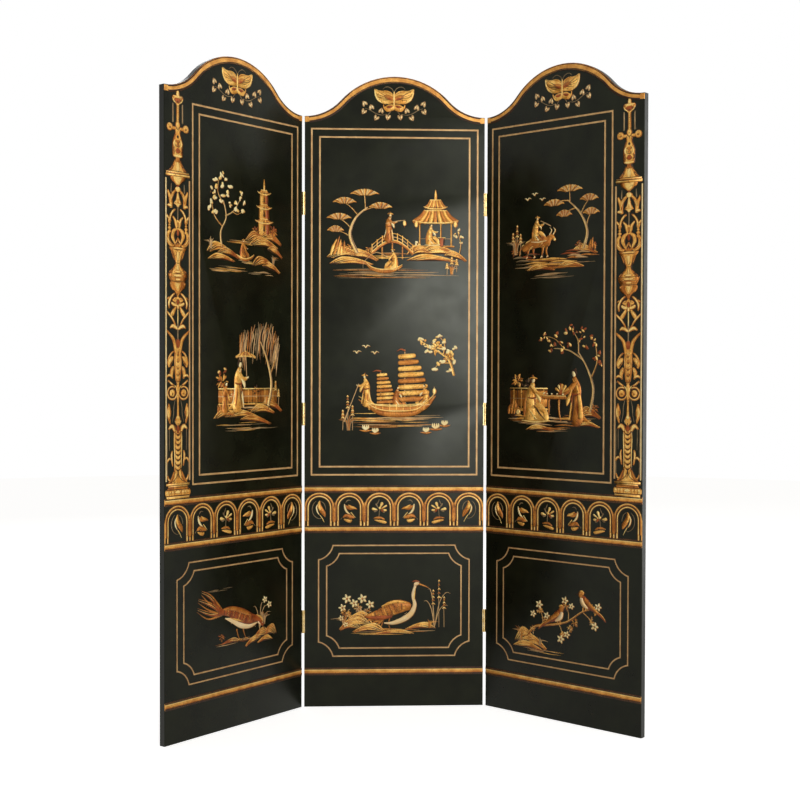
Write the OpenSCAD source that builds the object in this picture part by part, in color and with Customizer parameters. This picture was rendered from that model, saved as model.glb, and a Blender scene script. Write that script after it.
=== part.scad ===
// Three-leaf folding screen in black lacquer with raised gilt work.
//
// The origin is the middle of the centre leaf's bottom edge, halfway through
// its thickness. +Z is up, the gilt side faces -Y and +X is to the right of
// someone who looks at the gilt side. "Left" and "right" are as that person
// sees them. Each leaf is a glued frame of stiles and rails between two thin
// skins, and three brass double-action hinges join each pair of leaves.

/* [Leaves] */
// Width of each leaf
leaf_w = 522; // [440:1:600]
// Height of each leaf at the top of its crown
crest_h = 1830; // [1800:1:1900]
// Rise of the crown above the two shoulders
crest_rise = 116; // [80:1:180]
// Radius of the round crown
crown_r = 211; // [180:1:240]
// Gap between neighbouring leaves when the screen is opened flat
leaf_gap = 7; // [6:0.1:10]
// Angle that the left leaf is folded forward
left_fold = 49; // [0:1:90]
// Angle that the right leaf is folded forward
right_fold = 44; // [0:1:90]

/* [Leaf frame] */
// Thickness of the stiles and rails
frame_t = 15; // [12:0.5:22]
// Thickness of each skin
skin_t = 3; // [2:0.5:5]
// Width of the stiles
stile_w = 40; // [30:1:60]
// Depth of the crest rail below the shoulders
crest_rail_drop = 124; // [90:1:200]
// Height of the two cross rails
cross_rail_h = 60; // [40:1:90]
// Height of the foot rail
foot_rail_h = 80; // [50:1:90]

/* [Gilt bands] */
// Height that the gilt work stands above the lacquer
relief = 0.4; // [0.2:0.1:0.7]
// Black margin between the crest's edge and its gilt band
crest_margin = 2; // [1:0.5:6]
// Width of the gilt band along the crest
crest_band_w = 15; // [8:0.5:22]
// Width of the three straight bands
bar_h = 17; // [8:0.5:25]
// Height of the base band's lower edge
base_bar_z = 94.5; // [60:0.5:110]
// Height of the frieze's lower edge
frieze_z = 509.5; // [500:0.5:530]
// Height of the whole frieze, with its two bands
frieze_h = 133; // [125:0.5:145]

/* [Arcade] */
// Arches in the frieze of each leaf
arch_count = 6; // [5:1:7]
// Lacquer left between the arcade and the bands
arcade_margin = 1.3; // [0.5:0.1:4]
// Width of each arch moulding
arch_w = 12; // [9:0.5:15]
// Width of the moulding's inner line
arch_line_w = 3.9; // [2:0.1:5]
// Width of the groove beside that line
arch_groove_w = 2.7; // [1:0.1:4]
// Height of the three little feet under each leg
arch_foot_h = 15; // [8:0.5:20]
// Width of each little foot
arch_foot_w = 4.6; // [3:0.1:6]

/* [Panel lines] */
// Width of the thin gilt lines
line_w = 4.6; // [2:0.1:7]
// Distance between a panel's outer and inner line
line_step = 23.5; // [12:0.5:32]
// Distance from a leaf's edge to the upper panel's outer line
upper_side = 20.5; // [12:0.5:40]
// The same at a side leaf's free edge, where the candelabrum stands
pilaster_side = 97.5; // [94:0.5:120]
// Distance from the frieze up to the upper panel's outer line
upper_below = 34; // [15:0.5:60]
// Distance from the shoulders down to the upper panel's outer line
upper_above = 36.5; // [25:0.5:70]
// Distance from a leaf's edge to the lower panel's outer line
lower_side = 41.5; // [20:0.5:70]
// Distance from the base band up to the lower panel's outer line
lower_below = 36; // [15:0.5:60]
// Distance from the frieze down to the lower panel's outer line
lower_above = 39; // [15:0.5:60]
// Radius of the lower panel's hollow corners
notch_r = 56; // [44:1:80]
// Length that a hollow corner cuts off the lower panel's outer line
outer_notch = 42; // [30:0.5:50]
// The same on the inner line
inner_notch = 36.5; // [25:0.5:45]
// Distance from a side leaf's free edge to the middle of its candelabrum
pilaster_mid = 45.5; // [43:0.5:50]
// Distance between the candelabrum's two border lines
pilaster_w = 81; // [60:0.5:83]
// Distance from the shoulders down to the border lines' upper ends
pilaster_drop = 240; // [150:1:400]
// Height of the candelabrum's plinth on the frieze
plinth_h = 46; // [30:1:70]

/* [Hinges] */
// Length of each hinge
hinge_len = 66; // [50:1:90]
// Height of the bottom hinges' middle
bottom_hinge_z = 249; // [150:1:320]
// Height of the middle hinges' middle
middle_hinge_z = 853; // [780:1:1000]
// Distance from the shoulders down to the top hinges' middle
top_hinge_drop = 252; // [180:1:400]
// Knuckles along each barrel
knuckle_count = 5; // [3:2:7]
// Diameter of the hinge pins
pin_d = 3.2; // [2:0.1:3.8]
// Distance from a leaf's face out to the pins' axis
pin_proud = 1; // [0.8:0.1:2]
// Thickness of the plates let into the leaves' edges
plate_t = 1.5; // [1.4:0.1:2]
// Wood left between a plate and the leaf's other face
plate_land = 4; // [3.5:0.5:7]
// Thickness of the link plate between the two barrels
link_t = 3; // [1.5:0.5:4]

/* [Hinge screws] */
// Shank diameter of the countersunk screws
screw_d = 3; // [2.5:0.1:3.5]
// Head diameter
screw_head_d = 5.8; // [5:0.1:7]
// Head height
screw_head_h = 1.3; // [1:0.1:1.4]
// Length over all
screw_len = 16; // [10:1:25]
// Distance between the three screws of a plate
screw_pitch = 22; // [16:1:24]
// Width of the driver slot
slot_w = 0.8; // [0.5:0.1:1]
// Depth of the driver slot
slot_depth = 0.7; // [0.4:0.1:0.9]

/* [Clearances] */
// Radial clearance of the pins in their knuckles
pin_clearance = 0.05; // [0.02:0.01:0.1]
// Gap between neighbouring knuckles
knuckle_gap = 0.3; // [0.2:0.1:0.6]
// Gap between a barrel and the plane of each leaf's edge
barrel_clearance = 0.2; // [0.1:0.05:0.4]
// Gap between a link plate and the knuckles that it passes
link_clearance = 0.4; // [0.3:0.1:0.8]
// Gap round a screw in its plate and its pilot hole
screw_clearance = 0.05; // [0.02:0.01:0.15]
// Gap at each end of a hinge plate in its recess
recess_clearance = 0.15; // [0.05:0.05:0.4]

/* [Hidden] */
lacquer = "#26261f";
inner_wood = "#b08d5e";
gilding = "#d39a4a";
brass = "#c9a35c";

// The crown's arc meets a hollow arc of hollow_r tangentially, and each hollow
// ends level at the leaf's edge.
half_w = leaf_w / 2;
shoulder_h = crest_h - crest_rise;
arc_sum = (half_w ^ 2 + crest_rise ^ 2) / (2 * crest_rise);
hollow_r = arc_sum - crown_r;
crown_z = crest_h - crown_r;
hollow_z = shoulder_h + hollow_r;

leaf_t = frame_t + 2 * skin_t;
crest_rail_z = shoulder_h - crest_rail_drop;
inner_w = leaf_w - 2 * stile_w;
frieze_top = frieze_z + frieze_h;
frieze_rail_z = frieze_z + frieze_h / 2 - cross_rail_h / 2;
middle_rail_z = (frieze_top + crest_rail_z - cross_rail_h) / 2;

arch_pitch = leaf_w / arch_count;
arch_slit = 0.5;
arch_r = arch_pitch / 2 - arch_slit;
arch_foot_z = frieze_z + bar_h + arcade_margin;
arch_spring_z = frieze_top - bar_h - arcade_margin - arch_r;
arch_solid_z = arch_foot_z + arch_foot_h;
arch_open_r = arch_r - arch_w;
arch_foot_x = arch_pitch / 2 - arch_open_r - arch_foot_w / 2;

upper_z = [frieze_top + upper_below, shoulder_h - upper_above];
lower_z = [base_bar_z + bar_h + lower_below, frieze_z - lower_above];
border_z = [frieze_top + plinth_h, shoulder_h - pilaster_drop];

hinge_x = half_w + leaf_gap / 2;
pin_y = leaf_t / 2 + pin_proud;
barrel_d = leaf_gap - 2 * barrel_clearance;
knuckle_step = (hinge_len + knuckle_gap) / knuckle_count;
knuckle_len = knuckle_step - knuckle_gap;
link_half = pin_y - barrel_d / 2 - link_clearance;
plate_w = leaf_t - plate_land;
plate_mid_y = -plate_land / 2;
pilot_len = screw_len + 1;
cut = 1;

LEAVES = ["left", "centre", "right"];
SIDES = ["left", "right"];
HINGES = ["bottom", "middle", "top"];
hinge_z = [bottom_hinge_z, middle_hinge_z, shoulder_h - top_hinge_drop];

$fn = 96;

function sign_of(leaf) = leaf == "left" ? -1 : leaf == "right" ? 1 : 0;
function fold_of(side) = side < 0 ? left_fold : right_fold;

// ---------------------------------------------------------------- placing

// Turns what is drawn with the flat screen to its folded place, about the
// front pins of one side.
module folded(side) {
    translate([side * hinge_x, -pin_y, 0])
        rotate([0, 0, -side * fold_of(side)])
            translate([-side * hinge_x, pin_y, 0])
                children();
}

// Puts a leaf drawn at the origin where it stands. The centre leaf stays.
module on_leaf(leaf) {
    side = sign_of(leaf);
    if (side == 0) children();
    else folded(side) translate([side * (leaf_w + leaf_gap), 0, 0]) children();
}

// A flat figure drawn in X and Z, raised by a height from a face at y.
module raised(y, height) {
    translate([0, y, 0]) rotate([90, 0, 0]) linear_extrude(height = height) children();
}

module on_front_face() {
    raised(-leaf_t / 2, relief) children();
}

// -------------------------------------------------------------- leaf frame

// The leaf's outline, drawn in by a margin along its crest alone.
module leaf_outline(margin = 0) {
    meet = (crown_r - margin) / arc_sum;
    difference() {
        translate([-half_w, 0]) square([leaf_w, crown_z + (hollow_z - crown_z) * meet]);
        for (side = [-1, 1])
            translate([side * half_w, hollow_z]) circle(r = hollow_r + margin);
    }
    translate([0, crown_z]) circle(r = crown_r - margin);
}

// The recess for one hinge plate, in the leaf edge at x = 0 with the gap on
// the +X side and the plate flush with the -Y face.
module plate_recess() {
    length = hinge_len + 2 * recess_clearance;
    translate([-plate_t, -leaf_t / 2 - cut, -length / 2])
        cube([plate_t + cut, plate_w + cut, length]);
}

module pilot_holes() {
    for (k = [-1:1])
        translate([cut, plate_mid_y, k * screw_pitch])
            rotate([0, -90, 0])
                cylinder(d = screw_d + 2 * screw_clearance, h = pilot_len + cut);
}

// Recesses and pilot holes of one leaf edge. The edge is +1 or -1, and
// flip_y is 1 where the plate meets the back face.
module edge_cuts(edge, flip_y) {
    for (z = hinge_z)
        translate([edge * half_w, 0, z])
            mirror([edge < 0 ? 1 : 0, 0, 0])
                mirror([0, flip_y, 0]) {
                    plate_recess();
                    pilot_holes();
                }
}

// Every hinge cut in a leaf: both edges of the centre leaf, on its front, and
// the inner edge of a side leaf, on its back.
module hinge_cuts(leaf) {
    side = sign_of(leaf);
    if (side == 0) for (edge = [-1, 1]) edge_cuts(edge, 0);
    else edge_cuts(-side, 1);
}

// A stile along the leaf edge +1 or -1, up to the crest rail.
module stile(leaf, edge) {
    color(lacquer) on_leaf(leaf) difference() {
        translate([edge > 0 ? half_w - stile_w : -half_w, -frame_t / 2, 0])
            cube([stile_w, frame_t, crest_rail_z]);
        hinge_cuts(leaf);
    }
}

module crest_rail(leaf) {
    color(lacquer) on_leaf(leaf) raised(frame_t / 2, frame_t)
        difference() {
            leaf_outline();
            translate([-leaf_w, -cut]) square([2 * leaf_w, crest_rail_z + cut]);
        }
}

module cross_rail(leaf, z, height) {
    color(inner_wood) on_leaf(leaf)
        translate([-inner_w / 2, -frame_t / 2, z]) cube([inner_w, frame_t, height]);
}

module front_skin(leaf) {
    color(lacquer) on_leaf(leaf) difference() {
        raised(-frame_t / 2, skin_t) leaf_outline();
        hinge_cuts(leaf);
    }
}

module back_skin(leaf) {
    color(lacquer) on_leaf(leaf) difference() {
        raised(leaf_t / 2, skin_t) leaf_outline();
        hinge_cuts(leaf);
    }
}

// --------------------------------------------------------------- gilt work

// The band along the crest, and the straight bands of the frieze and base.
module gilt_bands(leaf) {
    color(gilding) on_leaf(leaf) on_front_face() {
        difference() {
            leaf_outline(crest_margin);
            leaf_outline(crest_margin + crest_band_w);
        }
        for (z = [base_bar_z, frieze_z, frieze_top - bar_h])
            translate([-half_w, z]) square([leaf_w, bar_h]);
    }
}

// One arch's opening with a half width of r, down to a height.
module arch_opening(r, bottom_z) {
    translate([0, arch_spring_z]) circle(r = r);
    translate([-r, bottom_z]) square([2 * r, arch_spring_z - bottom_z]);
}

// One arch of the arcade with half of each leg, round x = 0.
module arch() {
    difference() {
        union() {
            translate([0, arch_spring_z]) circle(r = arch_r);
            translate([-arch_pitch / 2, arch_foot_z])
                square([arch_pitch, arch_spring_z - arch_foot_z]);
        }
        arch_opening(arch_open_r, arch_foot_z - cut);
        arch_foot_gaps();
    }
}

// The gaps between the three little feet of each leg.
module arch_foot_gaps() {
    gap_w = arch_foot_x - arch_foot_w;
    for (side = [-1, 1])
        translate([side * (arch_pitch / 2 - arch_foot_x / 2) - gap_w / 2, arch_foot_z - cut])
            square([gap_w, arch_foot_h + cut]);
}

// The groove that follows the opening of one arch.
module arch_groove() {
    inner_r = arch_open_r + arch_line_w;
    difference() {
        arch_opening(inner_r + arch_groove_w, arch_solid_z);
        arch_opening(inner_r, arch_solid_z - cut);
    }
}

module each_arch() {
    for (k = [0:arch_count - 1])
        translate([(k + 0.5) * arch_pitch - half_w, 0]) children();
}

module gilt_arcade(leaf) {
    color(gilding) on_leaf(leaf) difference() {
        on_front_face() each_arch() arch();
        raised(-leaf_t / 2 - relief / 2, relief) each_arch() arch_groove();
    }
}

// A gilt line along the outline that the child draws for an offset: the child
// is drawn larger by half a line, less the same drawn smaller.
module line_frame(x, z) {
    difference() {
        translate([x[0] - line_w / 2, z[0] - line_w / 2])
            square([x[1] - x[0] + line_w, z[1] - z[0] + line_w]);
        translate([x[0] + line_w / 2, z[0] + line_w / 2])
            square([x[1] - x[0] - line_w, z[1] - z[0] - line_w]);
    }
}

// Distance outside a corner of the arc's centre, for an arc of radius r that
// cuts a length off both sides of the corner.
function notch_out(length, r) = (sqrt(2 * r ^ 2 - length ^ 2) - length) / 2;

// A rectangle with hollow corners, grown by an amount.
module notched(x, z, length, grow) {
    out = notch_out(length, notch_r);
    difference() {
        translate([x[0] - grow, z[0] - grow])
            square([x[1] - x[0] + 2 * grow, z[1] - z[0] + 2 * grow]);
        for (corner_x = [x[0] - out, x[1] + out], corner_z = [z[0] - out, z[1] + out])
            translate([corner_x, corner_z]) circle(r = notch_r - grow);
    }
}

module notched_frame(x, z, length) {
    difference() {
        notched(x, z, length, line_w / 2);
        notched(x, z, length, -line_w / 2);
    }
}

// The span of a panel's outer line, drawn in by an inset.
function span(low, high, inset) = [low + inset, high - inset];

// The thin lines of one leaf: the upper panel's pair, the lower panel's pair
// and, on a side leaf, the two border lines of its candelabrum.
module gilt_lines(leaf) {
    side = sign_of(leaf);
    left_margin = side < 0 ? pilaster_side : upper_side;
    right_margin = side > 0 ? pilaster_side : upper_side;
    color(gilding) on_leaf(leaf) on_front_face() {
        for (inset = [0, line_step])
            line_frame(span(left_margin - half_w, half_w - right_margin, inset),
                       span(upper_z[0], upper_z[1], inset));
        notched_frame(span(lower_side - half_w, half_w - lower_side, 0),
                      span(lower_z[0], lower_z[1], 0), outer_notch);
        notched_frame(span(lower_side - half_w, half_w - lower_side, line_step),
                      span(lower_z[0], lower_z[1], line_step), inner_notch);
        if (side != 0)
            for (edge = [-1, 1])
                translate([side * (half_w - pilaster_mid) + edge * pilaster_w / 2 - line_w / 2,
                           border_z[0]])
                    square([line_w, border_z[1] - border_z[0]]);
    }
}

// ------------------------------------------------------------------ hinges

// The knuckles of one part of a barrel on the Z axis: the odd or even ones.
module knuckles(first) {
    for (k = [first:2:knuckle_count - 1])
        translate([0, 0, k * knuckle_step - hinge_len / 2])
            cylinder(d = barrel_d, h = knuckle_len);
}

module pin_hole() {
    translate([0, 0, -hinge_len / 2 - cut])
        cylinder(d = pin_d + 2 * pin_clearance, h = hinge_len + 2 * cut);
}

// The countersunk hole for one screw, from x = 0 towards -X.
module screw_hole() {
    rotate([0, -90, 0]) {
        translate([0, 0, -cut])
            cylinder(d = screw_d + 2 * screw_clearance, h = plate_t + 2 * cut);
        cylinder(d1 = screw_head_d + 2 * screw_clearance,
                 d2 = screw_d + 2 * screw_clearance, h = screw_head_h);
    }
}

// A plate let into a leaf's edge at x = 0, with its knuckles in the gap on the
// +X side and proud of the -Y face. A short neck joins each knuckle to it.
module edge_plate() {
    difference() {
        union() {
            translate([-plate_t, -leaf_t / 2, -hinge_len / 2])
                cube([plate_t, plate_w, hinge_len]);
            for (k = [0:2:knuckle_count - 1])
                translate([-plate_t, -leaf_t / 2, k * knuckle_step - hinge_len / 2])
                    cube([plate_t + leaf_gap / 2, plate_t, knuckle_len]);
            translate([leaf_gap / 2, -pin_y, 0]) knuckles(0);
        }
        translate([leaf_gap / 2, -pin_y, 0]) pin_hole();
        for (k = [-1:1])
            translate([0, plate_mid_y, k * screw_pitch]) screw_hole();
    }
}

// The link between the two barrels, at the middle of the gap.
module link_plate() {
    difference() {
        union() {
            translate([-link_t / 2, -link_half, -hinge_len / 2])
                cube([link_t, 2 * link_half, hinge_len]);
            for (k = [1:2:knuckle_count - 1])
                translate([-link_t / 2, -pin_y, k * knuckle_step - hinge_len / 2])
                    cube([link_t, 2 * pin_y, knuckle_len]);
            for (y = [-pin_y, pin_y]) translate([0, y, 0]) knuckles(1);
        }
        for (y = [-pin_y, pin_y]) translate([0, y, 0]) pin_hole();
    }
}

module centre_plate(side, z) {
    color(brass) translate([side * half_w, 0, z])
        mirror([side < 0 ? 1 : 0, 0, 0]) edge_plate();
}

module leaf_plate(side, z) {
    color(brass) folded(side) translate([side * (half_w + leaf_gap), 0, z])
        mirror([side > 0 ? 1 : 0, 0, 0]) mirror([0, 1, 0]) edge_plate();
}

module link(side, z) {
    color(brass) folded(side) translate([side * hinge_x, 0, z]) link_plate();
}

// The three pins of the front barrels, -1, or of the back barrels, +1.
module pins(side, face) {
    color(brass) folded(side)
        for (z = hinge_z)
            translate([side * hinge_x, face * pin_y, z - hinge_len / 2])
                cylinder(d = pin_d, h = hinge_len);
}

// A countersunk screw with its head's face at x = 0 and its point towards -X.
module screw() {
    rotate([0, -90, 0]) difference() {
        union() {
            cylinder(d1 = screw_head_d, d2 = screw_d, h = screw_head_h);
            cylinder(d = screw_d, h = screw_len);
        }
        translate([-slot_w / 2, -screw_head_d, -cut])
            cube([slot_w, 2 * screw_head_d, slot_depth + cut]);
    }
}

module plate_screws() {
    for (z = hinge_z, k = [-1:1])
        translate([0, plate_mid_y, z + k * screw_pitch]) screw();
}

module centre_screws(side) {
    color(brass) translate([side * half_w, 0, 0])
        mirror([side < 0 ? 1 : 0, 0, 0]) plate_screws();
}

module leaf_screws(side) {
    color(brass) folded(side) translate([side * (half_w + leaf_gap), 0, 0])
        mirror([side > 0 ? 1 : 0, 0, 0]) mirror([0, 1, 0]) plate_screws();
}

// ---------------------------------------------------------------- the nodes

stile("centre", -1);  // centre_left_stile
stile("centre", 1);  // centre_right_stile
for (leaf = SIDES) {
    side = sign_of(leaf);
    stile(leaf, side);
    stile(leaf, -side);
}
for (leaf = LEAVES) {
    crest_rail(leaf);
    cross_rail(leaf, middle_rail_z, cross_rail_h);
    cross_rail(leaf, frieze_rail_z, cross_rail_h);
    cross_rail(leaf, 0, foot_rail_h);
    front_skin(leaf);
    back_skin(leaf);
    gilt_bands(leaf);
    gilt_arcade(leaf);
    gilt_lines(leaf);
}
for (name = SIDES) {
    side = sign_of(name);
    for (k = [0:2]) {
        stem = str(name, "_", HINGES[k]);
        centre_plate(side, hinge_z[k]);
        link(side, hinge_z[k]);
        leaf_plate(side, hinge_z[k]);
    }
    pins(side, -1);
    pins(side, 1);
    centre_screws(side);
    leaf_screws(side);
}
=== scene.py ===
"""Three-leaf folding screen in black lacquer with raised gilt work."""
import math
import random

import bmesh
import bpy
from mathutils import Matrix, Vector


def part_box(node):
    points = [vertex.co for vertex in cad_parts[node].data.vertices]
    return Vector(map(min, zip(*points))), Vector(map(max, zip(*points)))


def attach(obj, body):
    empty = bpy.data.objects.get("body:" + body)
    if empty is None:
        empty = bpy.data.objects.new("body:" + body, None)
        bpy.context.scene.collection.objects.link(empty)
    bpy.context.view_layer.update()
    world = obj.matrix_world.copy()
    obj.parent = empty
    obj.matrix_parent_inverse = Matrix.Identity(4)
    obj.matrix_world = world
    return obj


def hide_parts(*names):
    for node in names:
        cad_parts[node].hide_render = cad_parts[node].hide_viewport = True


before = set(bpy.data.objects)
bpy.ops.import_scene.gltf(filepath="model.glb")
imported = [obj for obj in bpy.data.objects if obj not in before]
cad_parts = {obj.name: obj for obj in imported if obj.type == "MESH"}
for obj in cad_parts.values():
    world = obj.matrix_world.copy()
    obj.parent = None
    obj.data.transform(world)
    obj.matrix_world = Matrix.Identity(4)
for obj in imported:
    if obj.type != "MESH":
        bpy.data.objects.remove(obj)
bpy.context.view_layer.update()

# ------------------------ the studio
# A white sweep under soft light, seen from chest height and a little left of
# the screen's middle. The floor and the air are white to the eye and to gloss.
FLOOR_R = 9.0
CAMERA_AT = (-0.156, -3.774, 0.965)
CAMERA_TURN = -2.62
CAMERA_DIP = 1.08
CAMERA_ROLL = 0.136
LENS_MM = 58.3
SENSOR_MM = 36
camera_data = bpy.data.cameras.new("camera")
camera_data.lens = LENS_MM
camera_data.sensor_width = SENSOR_MM
camera = bpy.data.objects.new("camera", camera_data)
camera.matrix_world = (
    Matrix.Translation(CAMERA_AT)
    @ Matrix.Rotation(math.radians(CAMERA_TURN), 4, "Z")
    @ Matrix.Rotation(math.radians(90 - CAMERA_DIP), 4, "X")
    @ Matrix.Rotation(math.radians(CAMERA_ROLL), 4, "Z")
)
bpy.context.scene.collection.objects.link(camera)
bpy.context.scene.camera = camera
bpy.context.scene.view_settings.view_transform = "Standard"


def linear(colour):
    """An sRGB hex colour as linear red, green, blue and full alpha."""
    parts = [int(colour[k:k + 2], 16) / 255 for k in (1, 3, 5)]
    return [p / 12.92 if p <= 0.04045 else ((p + 0.055) / 1.055) ** 2.4 for p in parts] + [1]


def add(tree, kind, sockets, **settings):
    """Adds a shader node. Each socket gets a value, or the output linked to it."""
    node = tree.nodes.new("ShaderNode" + kind)
    for name, value in settings.items():
        setattr(node, name, value)
    for socket, value in sockets.items():
        if isinstance(value, bpy.types.NodeSocket):
            tree.links.new(value, node.inputs[socket])
        else:
            node.inputs[socket].default_value = value
    return node


def seen(tree):
    """1 where the camera, a gloss or a clear surface looks, 0 for soft light."""
    ray = add(tree, "LightPath", {})
    gloss = add(tree, "Math", {0: ray.outputs["Is Camera Ray"], 1: ray.outputs["Is Glossy Ray"]},
                operation="MAXIMUM")
    return add(tree, "Math", {0: gloss.outputs[0], 1: ray.outputs["Is Transmission Ray"]},
               operation="MAXIMUM").outputs[0]


air = bpy.data.worlds.new("studio air")
air.use_nodes = True
air.node_tree.nodes.clear()
soft = add(air.node_tree, "Background", {"Color": linear("#fffdfa"), "Strength": 0.28})
white = add(air.node_tree, "Background", {"Color": (1, 1, 1, 1), "Strength": 1.0})
both = add(air.node_tree, "MixShader",
           {0: seen(air.node_tree), 1: soft.outputs[0], 2: white.outputs[0]})
add(air.node_tree, "OutputWorld", {"Surface": both.outputs[0]})
bpy.context.scene.world = air

paper = bpy.data.materials.new("white paper sweep")
paper.use_nodes = True
paper.node_tree.nodes.clear()
matt = add(paper.node_tree, "BsdfDiffuse", {"Color": linear("#f2f1ee")})
shaded = add(paper.node_tree, "BsdfDiffuse", {"Color": linear("#9c9a96")})
glow = add(paper.node_tree, "Emission", {"Color": (1, 1, 1, 1), "Strength": 0.735})
lifted = add(paper.node_tree, "AddShader", {0: matt.outputs[0], 1: glow.outputs[0]})
sweep = add(paper.node_tree, "MixShader",
            {0: seen(paper.node_tree), 1: shaded.outputs[0], 2: lifted.outputs[0]})
add(paper.node_tree, "OutputMaterial", {"Surface": sweep.outputs[0]})


def made(name, bm, *finishes):
    """Turns a bmesh into a smooth-shaded object with its finishes."""
    mesh = bpy.data.meshes.new(name)
    bm.to_mesh(mesh)
    bm.free()
    for finish in finishes:
        mesh.materials.append(finish)
    mesh.shade_smooth()
    piece = bpy.data.objects.new(name, mesh)
    bpy.context.scene.collection.objects.link(piece)
    return piece


bm = bmesh.new()
bmesh.ops.create_circle(bm, cap_ends=True, segments=96, radius=FLOOR_R)
made("floor", bm, paper)

for name, place, aim, width, height, power, spread in (
        ("front window", (1.06, -3.6, 1.13), (0.25, 0, 1.1), 0.84, 1.2, 47, 180),
        ("right softbox", (1.8, -2.4, 1.8), (-0.1, 0, 1.35), 1.0, 1.0, 4.2, 70),
        ("high softbox", (1.5, -3.6, 2.3), (0.05, 0, 1.4), 1.2, 1.2, 1.9, 45),
        ("side softbox", (3.6, 0.4, 1.3), (0.62, -0.35, 1.3), 1.2, 2.6, 4.2, 60),
        ("rear softbox", (-0.8, 3.4, 3.2), (0, 0, 1.0), 2.0, 2.0, 50, 180)):
    lamp = bpy.data.lights.new(name, "AREA")
    lamp.shape = "RECTANGLE"
    lamp.size = width
    lamp.size_y = height
    lamp.energy = power
    lamp.spread = math.radians(spread)
    lamp_object = bpy.data.objects.new(name, lamp)
    lamp_object.location = place
    lamp_object.rotation_euler = (Vector(aim) - Vector(place)).to_track_quat("-Z", "Y").to_euler()
    bpy.context.scene.collection.objects.link(lamp_object)

# ------------------------ lacquered skins and edges
# Each leaf is a glued frame of stiles and rails between two thin skins, all
# sprayed black and rubbed down. The skins' outer arrises are eased by hand.
LEAVES = ("left", "centre", "right")
LEAF_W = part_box("centre_front_skin")[1].x * 2
CREST_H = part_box("centre_front_skin")[1].z
LEAF_T = -2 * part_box("centre_front_skin")[0].y
LEAF_GAP = 0.007
PIN_PROUD = 0.001
FOLD = {"left": math.radians(49), "centre": 0.0, "right": math.radians(44)}
SIDE = {"left": -1, "centre": 0, "right": 1}
MM = 0.001
ARRIS = 2 * MM
MERGE = 0.02 * MM
FLAT_DEG = 0.4


def leaf_place(leaf):
    """The move from a leaf drawn at the origin to where it stands."""
    side = SIDE[leaf]
    if side == 0:
        return Matrix.Identity(4)
    pin = Vector((side * (LEAF_W + LEAF_GAP) / 2, -LEAF_T / 2 - PIN_PROUD, 0))
    return (Matrix.Translation(pin) @ Matrix.Rotation(-side * FOLD[leaf], 4, "Z")
            @ Matrix.Translation(-pin) @ Matrix.Translation((side * (LEAF_W + LEAF_GAP), 0, 0)))


def lying_flat(node, leaf):
    """A merged copy of a CAD node's mesh, moved back to the origin as drawn."""
    bm = bmesh.new()
    bm.from_mesh(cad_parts[node].data)
    bmesh.ops.remove_doubles(bm, verts=bm.verts, dist=MERGE)
    bmesh.ops.transform(bm, matrix=leaf_place(leaf).inverted(), verts=bm.verts)
    bmesh.ops.dissolve_limit(bm, angle_limit=math.radians(FLAT_DEG), verts=bm.verts,
                             edges=bm.edges, delimit={"NORMAL"})
    return bm


def cloudy(tree, low, high, grain_mm, detail):
    """A colour that drifts between two over patches of a size in millimetres."""
    place = add(tree, "TexCoord", {}).outputs["Object"]
    noise = add(tree, "TexNoise", {"Vector": place, "Scale": 1000 / grain_mm, "Detail": detail})
    ramp = add(tree, "ValToRGB", {"Fac": noise.outputs["Fac"]})
    ramp.color_ramp.elements[0].position = 0.34
    ramp.color_ramp.elements[1].position = 0.66
    ramp.color_ramp.elements[0].color = linear(low)
    ramp.color_ramp.elements[1].color = linear(high)
    return ramp.outputs["Color"]


def shine(tree, low, high, grain_mm):
    """A roughness that drifts between two values."""
    place = add(tree, "TexCoord", {}).outputs["Object"]
    noise = add(tree, "TexNoise", {"Vector": place, "Scale": 1000 / grain_mm, "Detail": 4.0})
    return add(tree, "MapRange", {"Value": noise.outputs["Fac"], "From Min": 0.3, "From Max": 0.7,
                                  "To Min": low, "To Max": high}).outputs["Result"]


def ripples(tree, height_mm, grain_mm, strength=1.0):
    """A bump of a height over ripples of a size, both in millimetres."""
    place = add(tree, "TexCoord", {}).outputs["Object"]
    noise = add(tree, "TexNoise", {"Vector": place, "Scale": 1000 / grain_mm, "Detail": 2.0})
    return add(tree, "Bump", {"Height": noise.outputs["Fac"], "Distance": height_mm * MM,
                              "Strength": strength}).outputs["Normal"]


def new_finish(name, colour, roughness, normal, **constants):
    """A finish whose colour, roughness and bump come from nodes."""
    finish = bpy.data.materials.new(name)
    finish.use_nodes = True
    tree = finish.node_tree
    shader = tree.nodes["Principled BSDF"]
    for socket, build in (("Base Color", colour), ("Roughness", roughness), ("Normal", normal)):
        tree.links.new(build(tree), shader.inputs[socket])
    for socket, value in constants.items():
        shader.inputs[socket.replace("_", " ")].default_value = value
    return finish


# Sprayed and rubbed nitrocellulose lacquer: near black with a green-brown
# cast, a satin gloss that drifts from the rubbing, and a faint orange peel.
black_lacquer = new_finish(
    "rubbed black lacquer",
    lambda tree: cloudy(tree, "#0f1008", "#1a1c10", 70, 6.0),
    lambda tree: shine(tree, 0.2, 0.27, 45),
    lambda tree: ripples(tree, 0.05, 9.0, 0.6),
    Specular_IOR_Level=0.15,
    Specular_Tint=(0.98, 1.0, 0.88, 1.0))
# The sawn edges take the same lacquer but are only half rubbed down.
rubbed_edge = new_finish(
    "half-rubbed black lacquer",
    lambda tree: cloudy(tree, "#0f1008", "#17180e", 70, 6.0),
    lambda tree: shine(tree, 0.36, 0.44, 20),
    lambda tree: ripples(tree, 0.06, 5.0, 0.6),
    Specular_IOR_Level=0.25)


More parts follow.
